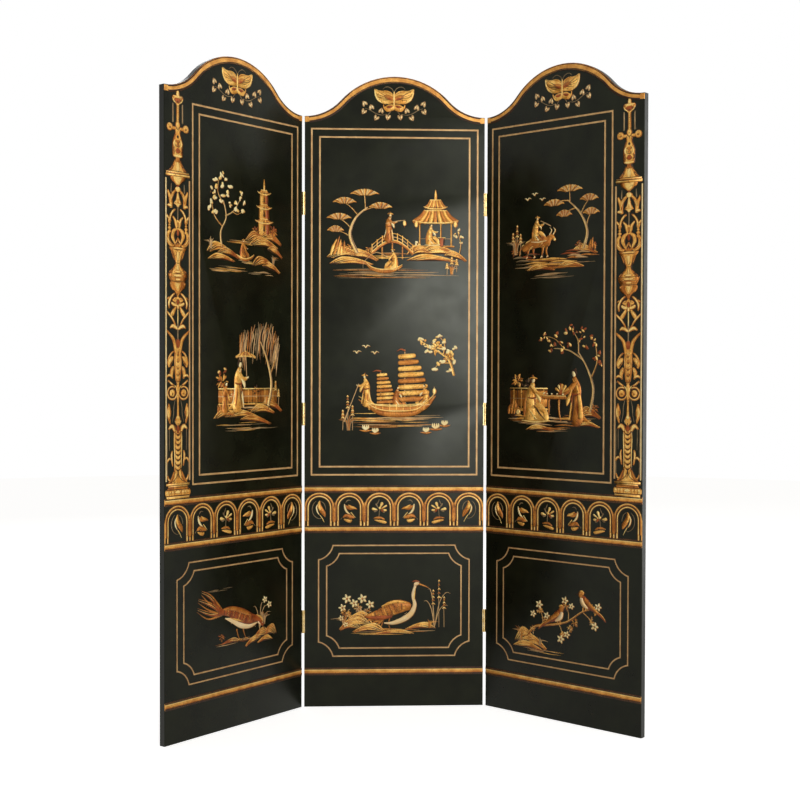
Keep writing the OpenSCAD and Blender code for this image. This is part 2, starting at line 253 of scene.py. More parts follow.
def put_up(bm, leaf, name, finishes, node=None):
    """Stands a flat-drawn piece on its leaf, and says what it rides on and stands for."""
    bmesh.ops.transform(bm, matrix=leaf_place(leaf), verts=bm.verts)
    piece = made(name, bm, *finishes)
    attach(piece, leaf + "_leaf")
    if node:
        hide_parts(node)
    return piece


def dress(node, finish):
    """Gives a CAD node that stays in view its finish."""
    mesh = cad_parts[node].data
    mesh.materials.clear()
    mesh.materials.append(finish)


# The cuts for the hinges' barrels keep their sharp edges: only the outline is eased.
TOUCHING = 0.1 * MM
CUT_DEPTH = 3 * MM
CUTS_FROM_Z = 0.1
CORNER_ANGLE = 0.6
for leaf in LEAVES:
    for face, name in ((-1, "front_skin"), (1, "back_skin")):
        bm = lying_flat(f"{leaf}_{name}", leaf)
        outer_face = face * LEAF_T / 2
        inner_x = LEAF_W / 2 - 2 * TOUCHING
        rim = []
        for edge in bm.edges:
            a, b = (v.co for v in edge.verts)
            on_face = all(abs(p.y - outer_face) < TOUCHING for p in (a, b))
            in_cut = max(abs(a.x), abs(b.x)) < inner_x and abs(a.x) > inner_x - CUT_DEPTH
            level = abs(a.z - b.z) < TOUCHING and a.z > CUTS_FROM_Z
            cut_end = level and abs(abs(a.x) - abs(b.x)) > 1 * MM
            if on_face and len(edge.link_faces) == 2 and edge.calc_face_angle() > CORNER_ANGLE:
                if not in_cut and not cut_end:
                    rim.append(edge)
        bmesh.ops.bevel(bm, geom=rim, offset=ARRIS, offset_type="OFFSET", segments=3,
                        affect="EDGES", profile=0.5, material=-1, clamp_overlap=True)
        skin = put_up(bm, leaf, f"{leaf}_{name}_board", [black_lacquer], f"{leaf}_{name}")
        skin.data.set_sharp_from_angle(angle=math.radians(30))
    stiles = ("left_stile", "right_stile") if leaf == "centre" else ("outer_stile", "inner_stile")
    for piece in stiles + ("crest_rail", "foot_rail"):
        dress(f"{leaf}_{piece}", rubbed_edge)

# ------------------------ the cross rails
# Softwood rails between the stiles, out of sight behind the skins and left
# bare under the glue: pale, dry and matt, with a fine grain from the plane.
planed_softwood = new_finish(
    "planed softwood",
    lambda tree: cloudy(tree, "#a98252", "#c39a66", 12, 5.0),
    lambda tree: shine(tree, 0.6, 0.75, 8),
    lambda tree: ripples(tree, 0.1, 3.0))
for leaf in LEAVES:
    for rail in ("middle_rail", "frieze_rail"):
        dress(f"{leaf}_{rail}", planed_softwood)

# ------------------------ the gilders' paints
# Bronze powders in varnish over raised gesso, and a few japanner's colours.
# Each is a soft, slightly metallic coat that pools and thins as it is brushed.
CLOUD_MM = 22
BRUSH_MM = 5
INK_MM = 17
INK_STRETCH = 0.5
INK_FOLDS = 17.0


def inked(tree, colour, ink, share):
    """A colour with fine, wandering pen lines in a dark ink over a share of it."""
    place = add(tree, "TexCoord", {}).outputs["Object"]
    upright = add(tree, "Mapping", {"Vector": place, "Scale": (1.0, 1.0, INK_STRETCH)})
    noise = add(tree, "TexNoise", {"Vector": upright.outputs["Vector"],
                                   "Scale": 1000 / INK_MM, "Detail": 2.0, "Distortion": 0.6})
    folds = add(tree, "Math", {0: noise.outputs["Fac"], 1: INK_FOLDS}, operation="MULTIPLY")
    saw = add(tree, "Math", {0: folds.outputs[0], 1: 1.0}, operation="PINGPONG")
    line = add(tree, "MapRange", {"Value": saw.outputs[0], "From Min": 0.02, "From Max": 0.2,
                                  "To Min": share, "To Max": 0.0})
    mixed = add(tree, "Mix", {"Factor": line.outputs["Result"], "A": colour, "B": linear(ink)},
                data_type="RGBA")
    return mixed.outputs["Result"]


def brushed_coat(name, low, high, metal=0.25, gloss=(0.36, 0.5), ink="", share=0.8):
    """A brushed coat of one paint, with pen lines where an ink is given."""
    def colour(tree):
        plain = cloudy(tree, low, high, CLOUD_MM, 5.0)
        return inked(tree, plain, ink, share) if ink else plain
    return new_finish(name, colour, lambda tree: shine(tree, *gloss, BRUSH_MM),
                      lambda tree: ripples(tree, 0.12, 4.0, 0.7), Metallic=metal,
                      Specular_IOR_Level=0.25)


PAINTS = {
    "gold": brushed_coat("bright gold bronze", "#dc963c", "#fcc868", ink="#70400f"),
    "pale": brushed_coat("pale gold bronze", "#f4c466", "#ffe290", 0.2, ink="#a87230", share=0.5),
    "amber": brushed_coat("deep gold bronze", "#a86022", "#d48a38", ink="#46240a"),
    "umber": brushed_coat("umber glaze", "#241204", "#412408", 0.0, (0.4, 0.5)),
    "cream": brushed_coat("cream japan colour", "#f6dc9a", "#fff0b6", 0.0, (0.42, 0.52)),
    "buff": brushed_coat("buff japan colour", "#ffd490", "#ffe6b8", 0.0, (0.42, 0.52)),
    "rust": brushed_coat("red earth glaze", "#843a14", "#b45c28", 0.05, ink="#40190a"),
    "dim": brushed_coat("worn pale gold", "#71593a", "#98805a", 0.1),
    "tan": brushed_coat("thin gold size line", "#b98e5c", "#d4ac74", 0.15),
}
band_gold = brushed_coat("burnished band gold", "#c07e34", "#efb158", ink="#9a5a20", share=0.4)
PAINT_NAMES = list(PAINTS)
SHADES = {"gold": "amber", "pale": "amber", "cream": "amber", "buff": "amber",
          "amber": "umber", "rust": "umber"}
SHADE_FROM_MM = 1.5
FLANK_FROM_MM = 7
SHADE_WAY = (0.8, -0.8, 0.35)
LIFT_MM = 0.06
LAYER_MM = 0.11
LEAST_LIFT_MM = 0.03
DOME_MM = 0.24
DOME_REACH_MM = 2.0
SUNK_MM = 0.05
STEP_MM = 5.0
RING_STEP = 24
FINEST_MM = 0.15
UNDER_MM = -0.02
WELD = 0.001 * MM


def smooth(points):
    """Points along a smooth line through the given (x, z, half width) ones."""
    points = [Vector(p) for p in points]
    ends = [points[0]] + points + [points[-1]]
    line = []
    for a, b, c, d in zip(ends, ends[1:], ends[2:], ends[3:]):
        count = max(2, min(6, round((c - b).length / STEP_MM)))
        for k in range(count):
            t = k / count
            line.append(0.5 * (2 * b + (c - a) * t + (2 * a - 5 * b + 4 * c - d) * t * t
                               + (3 * b - a - 3 * c + d) * t ** 3))
    return line + [points[-1]]


def mix(a, b, t):
    """The value at a share of the way from one to another."""
    return a + (b - a) * t


def rounded(line):
    """The line with a round end in place of a blunt last point."""
    (x0, z0, _), (x, z, width) = line[-2:]
    length = math.hypot(x - x0, z - z0)
    if width < 1 or length < 0.1:
        return line
    dx, dz = (x - x0) / length * width, (z - z0) / length * width
    return line + [Vector((x + dx * 0.35, z + dz * 0.35, width * 0.85)),
                   Vector((x + dx * 0.65, z + dz * 0.65, width * 0.4))]


class Painting:
    """Brush touches on one leaf, in millimetres along x and z from an origin."""

    def __init__(self, leaf, x=0.0, z=0.0, scale=1.0, flip=1):
        self.leaf, self.x, self.z, self.scale, self.flip = leaf, x, z, scale, flip
        self.shade = SHADE_WAY
        self.touches = {}

    def move(self, x, z, scale, flip):
        """Takes the brush to another origin on the same leaf."""
        self.x, self.z, self.scale, self.flip = x, z, scale, flip

    def touch(self, paint, path, widths, layer=1, curved=True, blunt=False):
        """One touch of the brush: a path, and half widths spread along it."""
        last, spans = max(1, len(path) - 1), len(widths) - 1
        points = []
        for k, (x, z) in enumerate(path):
            at = k / last * spans
            low = min(int(at), max(0, spans - 1))
            width = widths[0] if spans == 0 else mix(widths[low], widths[low + 1], at - low)
            points.append((self.x + self.flip * self.scale * x, self.z + self.scale * z,
                           max(FINEST_MM, width * self.scale)))
        line = smooth(points) if curved and len(points) > 2 else [Vector(p) for p in points]
        if curved and not blunt:
            line = rounded(rounded(line)[::-1])[::-1]
        self.touches.setdefault((layer, paint), []).append(line)
        # Wide touches of the paler paints, amber and rust get a darker copy half a layer under them,
        # moved by SHADE_WAY down and to the right and made a little wider: a painted shadow along their
        # lower right edge.
        if paint in SHADES and max(p.z for p in line) > SHADE_FROM_MM:
            shade = [p + Vector(self.shade) for p in line]
            self.touches.setdefault((layer - 0.5, SHADES[paint]), []).append(shade)

    def pair(self, paint, path, widths, layer=1):
        """The same touch on both sides of the origin."""
        self.touch(paint, path, widths, layer)
        self.touch(paint, [(-x, z) for x, z in path], widths, layer)

    def turned(self, paint, profile, layer=1):
        """An upright form like a turned one, as (z, half width) from its foot up."""
        path = [(0, z) for z, _ in profile]
        wide = paint == "gold" and max(w for _, w in profile) > FLANK_FROM_MM
        if wide:
            self.touch("amber", path, [w for _, w in profile], layer - 0.45, blunt=True)
        self.touch(paint, path, [w * (0.78 if wide else 1.0) for _, w in profile], layer, blunt=True)

    def ring(self, paint, x, z, radius, width, layer=1, start=0, sweep=360):
        """A round line, or a part of one, from an angle right of the top."""
        count = max(4, round(abs(sweep) / RING_STEP))
        angles = [math.radians(start + sweep * k / count) for k in range(count + 1)]
        self.touch(paint, [(x + radius * math.sin(a), z + radius * math.cos(a))
                           for a in angles], (width,), layer)

    def dab(self, paint, x, z, half_long, half_wide, turn, layer=2):
        """An oval touch, its length turned right from upright."""
        steps = (-0.96, -0.68, 0, 0.68, 0.96)
        c, s = math.cos(turn), math.sin(turn)
        self.touch(paint, [(x + half_long * t * s, z + half_long * t * c) for t in steps],
                   [half_wide * math.sqrt(1 - t * t) for t in steps], layer, curved=False)

    def dot(self, paint, x, z, radius, layer=2, squash=1.0):
        """A round dab."""
        self.dab(paint, x, z, radius * squash, radius, 0.0, layer)

    def piece(self, name, sides=1):
        """Makes the touches one domed mesh, seated in the lacquer of the leaf."""
        whole = bmesh.new()
        for (layer, paint), lines in sorted(self.touches.items()):
            curve = bpy.data.curves.new(name, "CURVE")
            curve.dimensions = "3D"
            curve.bevel_depth = MM
            curve.bevel_resolution = sides
            curve.use_fill_caps = True
            for line in lines:
                spline = curve.splines.new("POLY")
                spline.points.add(len(line) - 1)
                for point, (x, z, width) in zip(spline.points, line):
                    point.co = (x * MM, 0, z * MM, 1)
                    point.radius = width
            lift = max(LEAST_LIFT_MM, LIFT_MM + LAYER_MM * layer)
            brush = bpy.data.objects.new(name, curve)
            bpy.context.scene.collection.objects.link(brush)
            tube = bpy.data.meshes.new_from_object(
                brush.evaluated_get(bpy.context.evaluated_depsgraph_get()))
            first_face = len(whole.faces)
            first_vertex = len(whole.verts)
            whole.from_mesh(tube)
            whole.faces.ensure_lookup_table()
            whole.verts.ensure_lookup_table()
            for face in whole.faces[first_face:]:
                face.material_index = PAINT_NAMES.index(paint)
            for vertex in whole.verts[first_vertex:]:
                out = -vertex.co.y / MM
                rise = lift + DOME_MM * (1 - math.exp(-out / DOME_REACH_MM))
                vertex.co.y = -LEAF_T / 2 - MM * (rise if out > UNDER_MM else -SUNK_MM)
            bpy.data.objects.remove(brush)
            bpy.data.curves.remove(curve)
            bpy.data.meshes.remove(tube)
        bmesh.ops.remove_doubles(whole, verts=whole.verts, dist=WELD)
        bmesh.ops.recalc_face_normals(whole, faces=whole.faces)
        picture = put_up(whole, self.leaf, name, list(PAINTS.values()))
        return picture


# ------------------------ the gilt bands
# One band follows each leaf's crest, two close its frieze and one runs above
# its foot. They are raised gesso under gold, shaded brown along both edges,
# and are rubbed down with the board where they meet its eased arrises.
HALF_W = LEAF_W / 2 / MM
CREST_RISE = 116
CROWN_R = 211
SHOULDER = CREST_H / MM - CREST_RISE
HOLLOW_R = (HALF_W ** 2 + CREST_RISE ** 2) / (2 * CREST_RISE) - CROWN_R
TURN = math.atan2(HALF_W, SHOULDER + HOLLOW_R - (CREST_H / MM - CROWN_R))
CREST_MARGIN = 2
CREST_BAND_W = 15
BAR_H = 17
BARS_Z = (94.5, 509.5, 625.5)
LINE_W = 4.6
LOWER_SIDE = 41.5
LOWER_HIGH = 323
LOWER_MID_Z = 309
LOWER_LINES = ((0, 42), (23.5, 36.5))
NOTCH_R = 56
ARCH_COUNT = 6
ARCH_PITCH = 2 * HALF_W / ARCH_COUNT
CREST_STEPS = 9
NOTCH_STEPS = 6
BENDS = (0.0, 0.35, 0.65, 0.85)
MOST_BENT = 0.97
BAR_END = 1.5
LOW_SHADE = 4.6
HIGH_GLINT = 4.4
EDGE_IN = 1.6
EDGE_OUT = 1.2


def crest_line(margin):
    """The leaf's crest from left to right, drawn in by a margin."""
    hollow = [(HALF_W - (HOLLOW_R + margin) * math.sin(TURN * k / CREST_STEPS),
               SHOULDER + HOLLOW_R - (HOLLOW_R + margin) * math.cos(TURN * k / CREST_STEPS))
              for k in range(CREST_STEPS)]
    crown = [((CROWN_R - margin) * math.sin(TURN * k / CREST_STEPS),
              CREST_H / MM - CROWN_R + (CROWN_R - margin) * math.cos(TURN * k / CREST_STEPS))
             for k in range(-CREST_STEPS, CREST_STEPS + 1)]
    return [(-x, z) for x, z in hollow] + crown + hollow[::-1]


def notched_line(half_wide, half_high, notch, grow):
    """A closed line round the lower panel, hollow at its corners, grown a little."""
    out = (math.sqrt(2 * NOTCH_R ** 2 - notch ** 2) - notch) / 2
    radius = NOTCH_R - grow
    start = math.asin((out - grow) / radius)
    turns = [start + (math.pi / 2 - 2 * start) * k / NOTCH_STEPS for k in range(NOTCH_STEPS + 1)]
    corner = [(half_wide + out - radius * math.cos(t), half_high + out - radius * math.sin(t))
              for t in turns]
    right = corner + [(x, -z) for x, z in corner[::-1]]
    loop = right + [(-x, z) for x, z in right[::-1]]
    return [(x, z + LOWER_MID_Z) for x, z in loop + loop[:1]]


def wrapped(node, leaf):
    """A merged copy of gilt work, bent back where it crosses the eased arrises."""
    bm = lying_flat(node, leaf)
    for side in (-1, 1):
        for share in BENDS:
            bmesh.ops.bisect_plane(
                bm, geom=bm.verts[:] + bm.edges[:] + bm.faces[:],
                plane_co=(side * (LEAF_W / 2 - ARRIS * (1 - share)), 0, 0), plane_no=(1, 0, 0))
    for vertex in bm.verts:
        over = min(MOST_BENT, max(0.0, (abs(vertex.co.x) - LEAF_W / 2 + ARRIS) / ARRIS))
        vertex.co.y += ARRIS * (1 - math.sqrt(1 - over * over))
    return bm


for leaf in LEAVES:
    for work in ("gilt_bands", "gilt_arcade"):
        gilt = put_up(wrapped(f"{leaf}_{work}", leaf), leaf, f"{leaf}_{work}_leafed",
                      [band_gold], f"{leaf}_{work}")
        gilt.data.set_sharp_from_angle(angle=math.radians(40))
    dress(f"{leaf}_gilt_lines", PAINTS["tan"])

    shading = Painting(leaf)
    end = HALF_W - BAR_END
    # Painted shade and highlight on each bar: a deep amber stroke low in it, a pale highlight near its
    # top, and umber just inside and just outside both edges.
    for z in BARS_Z:
        top = z + BAR_H
        for paint, level, half, layer in (
                ("amber", z + LOW_SHADE, 1.8, 2.6), ("pale", top - HIGH_GLINT, 1.4, 2.6),
                ("umber", z + EDGE_IN, 1.7, 3), ("umber", z - EDGE_OUT, 2.0, 0),
                ("umber", top - EDGE_IN, 1.7, 3), ("umber", top + EDGE_OUT, 2.0, 0)):
            shading.touch(paint, [(-end, level), (end, level)], (half,), layer)
    # Painted shade on the crest band: umber just inside both edges, wider away from the crown, umber just
    # below its lower edge, and a thin amber line along its top.
    for margin, out in ((CREST_MARGIN, -1), (CREST_MARGIN + CREST_BAND_W, 1)):
        line = crest_line(margin - out * 1.3)[1:-1]
        shading.touch("umber", line, [1.2 + 1.0 * (abs(x) > CROWN_R * 0.6) for x, _ in line], 3)
        if out > 0:
            shading.touch("umber", crest_line(margin + 1.2)[1:-1], (2.0,), 0)
        else:
            shading.touch("amber", crest_line(margin - 0.5)[1:-1], (0.8,), 0)
    # Umber strokes just inside both edges of the lower panel's lines: painted shade along their edges,
    # which also narrows their gold.
    for inset, notch in LOWER_LINES:
        for grow in (-LINE_W / 2 + 0.1, LINE_W / 2 - 0.1):
            shading.touch("umber", notched_line(HALF_W - LOWER_SIDE - inset, LOWER_HIGH / 2 - inset,
                                                notch, grow), (0.65,), 3.4, curved=False)
    shading.piece(f"{leaf}_band_shading")

# ------------------------ the arcade
# Six round arches carry the frieze, in raised gesso under gold. A dark groove
# follows each opening, the legs are shaded amber and end in three little feet,
# and each arch frames a bird or a plant.
ARCH_W = 12
ARCH_LINE_W = 3.9
ARCH_GROOVE_W = 2.7
ARCH_SLIT = 0.5
ARCADE_MARGIN = 1.3
ARCH_FOOT_H = 15
ARCH_R = ARCH_PITCH / 2 - ARCH_SLIT
OPEN_R = ARCH_R - ARCH_W
FOOT_Z = BARS_Z[1] + BAR_H + ARCADE_MARGIN
SPRING_Z = BARS_Z[2] - ARCADE_MARGIN - ARCH_R


def arch_top(x, radius, reach):
    """The round top of an arch, to an angle on both sides of its crown."""
    turns = [math.radians(a) for a in range(-reach, reach + 1, 15)]
    return [(x + radius * math.sin(a), SPRING_Z + radius * math.cos(a)) for a in turns]


def arch_line(x, radius, foot_z):
    """An arch-shaped line, from its left foot over to its right one."""
    halfway = mix(foot_z, SPRING_Z, 0.5)
    return ([(x - radius, foot_z), (x - radius, halfway)] + arch_top(x, radius, 90)
            + [(x + radius, halfway), (x + radius, foot_z)])


def looped_bird(art):
    """A bird with folded wings inside a thin looped branch."""
    art.touch("dim", [(-10, 27), (-18, 18), (-22, 2), (-18, -14), (-8, -24), (2, -27), (7, -22)],
              (0.5, 1.3, 0.9, 0.5))
    art.touch("dim", [(4, 27), (14, 20), (19, 6), (19, 0)], (0.5, 1.3, 0.6))
    art.touch("amber", [(2, 28), (1, 14), (6, 0), (13, -10), (18, -22)], (0.5, 5, 8, 7.5, 1))
    art.touch("gold", [(1, 28), (-2, 18), (0, 6), (5, -3)], (0.5, 4, 4.5, 1), 2)
    art.touch("cream", [(-5, 18), (-9, 8), (-6, -6), (0, -15)], (0.6, 2.2, 2, 0.6), 3)
    art.touch("pale", [(2, -16), (9, -26), (15, -38)], (1.2, 1.1, 0.6), 2)
    for k in range(3):
        art.touch("umber", [(6 + 3 * k, 2 - 5 * k), (11 + 3 * k, -8 - 5 * k)], (0.3, 0.9, 0.3), 3)
    art.dot("umber", 1, 22, 1.0, 3)


def rock_bird(art):
    """A bird with a pale breast and a raised tail on a gilt rock."""
    art.touch("amber", [(-12, 14), (-6, 8), (4, 6), (14, 6), (24, 2)], (1, 6, 7, 5, 0.4))
    art.touch("gold", [(-4, 16), (4, 10), (14, 6), (22, 3)], (0.5, 4, 3, 0.4), 2)
    art.touch("cream", [(-15, 18), (-13, 4), (-6, -8), (3, -13)], (1, 3.4, 3, 0.6), 3)
    art.touch("dim", [(-11, 22), (-7, 28), (-1, 30), (4, 28)], (0.5, 1.8, 1.2, 0.4))
    art.touch("pale", [(5, -8), (12, -16), (19, -24)], (1.4, 1.2, 0.5), 2)
    art.touch("amber", [(-20, -24), (-12, -18), (0, -20), (12, -23), (16, -26)], (1, 6, 8, 4, 0.5))
    art.touch("gold", [(-17, -28), (-8, -32), (2, -34), (7, -30)], (1, 4.5, 5, 1), 2)
    art.touch("umber", [(-12, -23), (-4, -22), (0, -27)], (0.4, 1.6, 0.4), 3)
    art.touch("umber", [(-2, 12), (6, 8), (15, 5)], (0.3, 0.8, 0.3), 3)
    art.touch("dim", [(-27, -30), (-22, -24)], (0.8,))


def pot_plant(art):
    """A plant of broad petals over a low gilt bank."""
    art.touch("dim", [(-1, -22), (0, -10), (1, 0)], (1.6, 1.3, 1.1))
    for x, z, wide in ((-19, 3, 5), (-13, -4, 4), (2, 6, 6), (8, 20, 5), (20, 12, 3), (19, -1, 3.5),
                       (-9, 16, 3), (13, -6, 4)):
        reach = math.hypot(x, z)
        art.touch("dim" if (x + z) % 2 else "pale",
                  [(x * 0.3, z * 0.3), (x, z), (x * (1 + 4 / reach), z * (1 + 4 / reach))],
                  (0.5, wide, 0.8), 2)
    art.touch("dim", [(-8, 16), (-3, 24), (0, 32)], (1, 1.6, 0.6))
    art.touch("rust", [(4, 2), (9, -2), (12, -7)], (1, 4.5, 1), 3)
    art.touch("gold", [(6, 2), (10, 5)], (1, 2), 3)
    art.touch("amber", [(-18, -26), (-6, -24), (8, -26), (17, -30)], (0.8, 3.5, 4.5, 1))
    art.touch("gold", [(-15, -31), (0, -34), (18, -38), (21, -36)], (0.8, 4, 4.5, 1), 2)
    art.touch("umber", [(-2, -27), (5, -28), (12, -31)], (0.4, 1.6, 0.4), 3)


for leaf in LEAVES:
    arcade = Painting(leaf)
    for k in range(ARCH_COUNT):
        x = (k + 0.5) * ARCH_PITCH - HALF_W
        solid_z = FOOT_Z + ARCH_FOOT_H
        groove_r = OPEN_R + ARCH_LINE_W + ARCH_GROOVE_W / 2
        arcade.touch("umber", arch_line(x, groove_r, solid_z), (1.7,), 3.2)
        arcade.touch("amber", arch_line(x, groove_r + 2.8, solid_z), (1.3,), 2.8)
        arcade.touch("umber", arch_line(x, OPEN_R - 1.1, FOOT_Z), (1.7,), 0)
        arcade.touch("umber", arch_top(x, ARCH_R + 1.2, 75), (0.5, 2.0, 2.0, 0.5), 0)
        arcade.touch("pale", arch_line(x, OPEN_R + 1.5, solid_z + 2), (1.2,), 3)
        arcade.touch("pale", arch_top(x, ARCH_R - 1.5, 75), (0.3, 1.0, 1.0, 0.3), 3)
    foot_step = ARCH_PITCH / 2 - OPEN_R - 2.3
    for k in range(ARCH_COUNT + 1):
        x = k * ARCH_PITCH - HALF_W
        feet = [side for side in (-1, 0, 1) if abs(x + side * foot_step) < HALF_W - 2]
        if 0 < k < ARCH_COUNT:
            arcade.touch("amber", [(x, FOOT_Z + 14), (x, FOOT_Z + 38), (x, SPRING_Z + 2),
                                   (x, SPRING_Z + 16)], (5.0, 4.6, 3.4, 0.3), 3)
            arcade.touch("umber", [(x - 10.5, FOOT_Z + 7), (x + 10.5, FOOT_Z + 7)], (6.0,), 0,
                         curved=False)
            arcade.touch("umber", [(x - 9, FOOT_Z + 16), (x + 9, FOOT_Z + 16)], (1.0,), 3.6)
        for side in feet:
            arcade.touch("pale", [(x + side * foot_step, FOOT_Z + 1.5),
                                  (x + side * foot_step, FOOT_Z + 12)], (1.5, 1.2), 3)
    motifs = (looped_bird, rock_bird, pot_plant, rock_bird, pot_plant, looped_bird)
    for k, motif in enumerate(motifs):
        x = (k + 0.5) * ARCH_PITCH - HALF_W
        arcade.move(x, SPRING_Z - 7, 0.95, 1 if k < 3 else -1)
        motif(arcade)
    arcade.piece(f"{leaf}_arcade_painting")

# ------------------------ the crest
# A gilt butterfly with spread wings and two flowering sprays fill each crown,
# in bronze powders and cream over thin gesso. Both halves are alike.
for leaf in LEAVES:
    crest = Painting(leaf, -3 if leaf == "centre" else 0)
    crest.pair("gold", [(5, 1766), (18, 1771), (34, 1777), (52, 1786), (57, 1794)],
               (15, 15, 14, 6, 0.4))
    crest.pair("gold", [(6, 1760), (24, 1758), (40, 1764), (50, 1774)], (8, 9, 6, 1))
    crest.pair("gold", [(2, 1742), (14, 1740), (26, 1739)], (9, 11, 5))
    for reach, rise in ((54, 30), (56, 20), (50, 10), (40, 1)):
        crest.pair("pale", [(7, 1766), (reach * 0.5, 1766 + rise * 0.42), (reach, 1764 + rise)],
                   (0.6, 1.7, 0.5), 2)
        crest.pair("umber", [(9, 1764), (reach * 0.5, 1763 + rise * 0.4),
                             (reach * 0.94, 1760 + rise)], (0.4, 1.0, 0.3), 3)
    crest.pair("pale", [(32, 1753), (46, 1762), (54, 1777), (57, 1792)], (1, 2.4, 2.4, 0.5), 2)
    crest.pair("gold", [(8, 1733), (20, 1731), (29, 1740), (31, 1750)], (1, 2.2, 2.0, 0.5), 2)
    crest.pair("amber", [(4, 1765), (16, 1770), (30, 1775)], (7, 8, 3), 1.6)
    crest.pair("rust", [(4, 1764), (13, 1767), (22, 1769)], (3, 5, 2), 2)
    crest.pair("rust", [(5, 1744), (14, 1742), (22, 1741)], (2.5, 4.5, 1.5), 2)
    crest.pair("umber", [(4, 1752), (18, 1750), (32, 1752)], (0.5, 1.8, 0.5), 2)
    crest.pair("gold", [(3, 1778), (14, 1786), (30, 1789)], (0.8, 1.8, 0.8), 3)
    crest.pair("umber", [(3, 1790), (10, 1784), (30, 1786)], (0.2, 0.8, 0.2), 0)
    crest.turned("pale", [(1737, 1), (1750, 2.4), (1766, 2.8), (1782, 2.0), (1787, 0.8)], 3)
    crest.pair("dim", [(1, 1786), (6, 1794), (16, 1800), (26, 1799), (32, 1793)], (0.8, 1.0, 0.8, 0.4))
    crest.pair("dim", [(7, 1733), (14, 1724), (20, 1716)], (0.8, 1.2, 1.0))
    crest.pair("dim", [(22, 1722), (34, 1719), (50, 1722), (66, 1731), (76, 1736), (84, 1738)],
               (0.7, 1.2, 0.9, 0.7))
    for x, z, lean in ((18, 1712, 170), (37, 1732, 345), (52, 1710, 150), (66, 1742, 15),
                       (86, 1752, 30), (88, 1728, 150)):
        tip_x = x + 8 * math.sin(math.radians(lean))
        tip_z = z + 8 * math.cos(math.radians(lean))
        for side in (-1, 1):
            a = math.radians(lean + 180 + side * 20)
            c, s = math.cos(a), math.sin(a)
            crest.pair("tan", [(tip_x, tip_z), (tip_x + 6 * s, tip_z + 6 * c),
                               (tip_x + 11 * s, tip_z + 11 * c), (tip_x + 15 * s, tip_z + 15 * c)],
                       (0.3, 3.4, 4.6, 2.6), 2)
            crest.pair("cream", [(tip_x + 4 * s, tip_z + 4 * c), (tip_x + 9 * s, tip_z + 9 * c),
                                 (tip_x + 13 * s, tip_z + 13 * c)], (0.4, 2.0, 0.8), 3)
        crest.pair("rust", [(tip_x, tip_z), (x, z)], (0.3, 0.9), 4)
    crest.piece(f"{leaf}_crest_painting")

# ------------------------ the candelabra
# Along the free edge of each side leaf a painted candelabrum of vases,
# scrolls and leaves climbs from the frieze to the shoulder, symmetrical about
# its stem and shaded as if turned.
PILASTER_MID = 45.5
PILASTER_W = 81
BORDER_Z = (688.5, SHOULDER - 240)


def moulding(art, z, half, height, paint="gold"):
    """A level moulding with a lit top edge and a dark line below."""
    art.touch(paint, [(-half, z + height / 2), (half, z + height / 2)], (height / 2,), 1, False)
    art.touch("pale", [(-half, z + height * 0.7), (half, z + height * 0.7)], (height * 0.16,), 2)
    art.touch("umber", [(-half, z + 0.3), (half, z + 0.3)], (0.8,), 2)


def plinth(art):
    """The stepped plinth that the column's skirt stands on."""
    moulding(art, 642, 39, 7)
    art.touch("gold", [(-38, 658), (38, 658)], (8.5,))
    art.touch("amber", [(-33, 668), (33, 668)], (4,))
    moulding(art, 671, 33, 6, "amber")
    moulding(art, 677, 40, 5.5)
    for x, wide in ((-36, 4), (-27, 2.5), (-18, 3), (0, 9), (17, 3), (26, 2.5), (36, 4)):
        art.touch("pale", [(x - wide, 659), (x, 660), (x + wide, 659)], (0.6, 4.2, 0.6), 2)
    for x in (-31, -22.5, -12, 12, 21.5, 31):
        art.touch("amber", [(x, 652), (x, 665)], (1.1, 1.3), 3)
    art.touch("pale", [(-11, 658), (0, 660), (9, 658)], (1, 5.5, 1), 3)
    art.touch("umber", [(-38, 650.2), (38, 650.2)], (1.0,), 3)
    art.touch("umber", [(-38, 666.2), (38, 666.2)], (1.1,), 3)


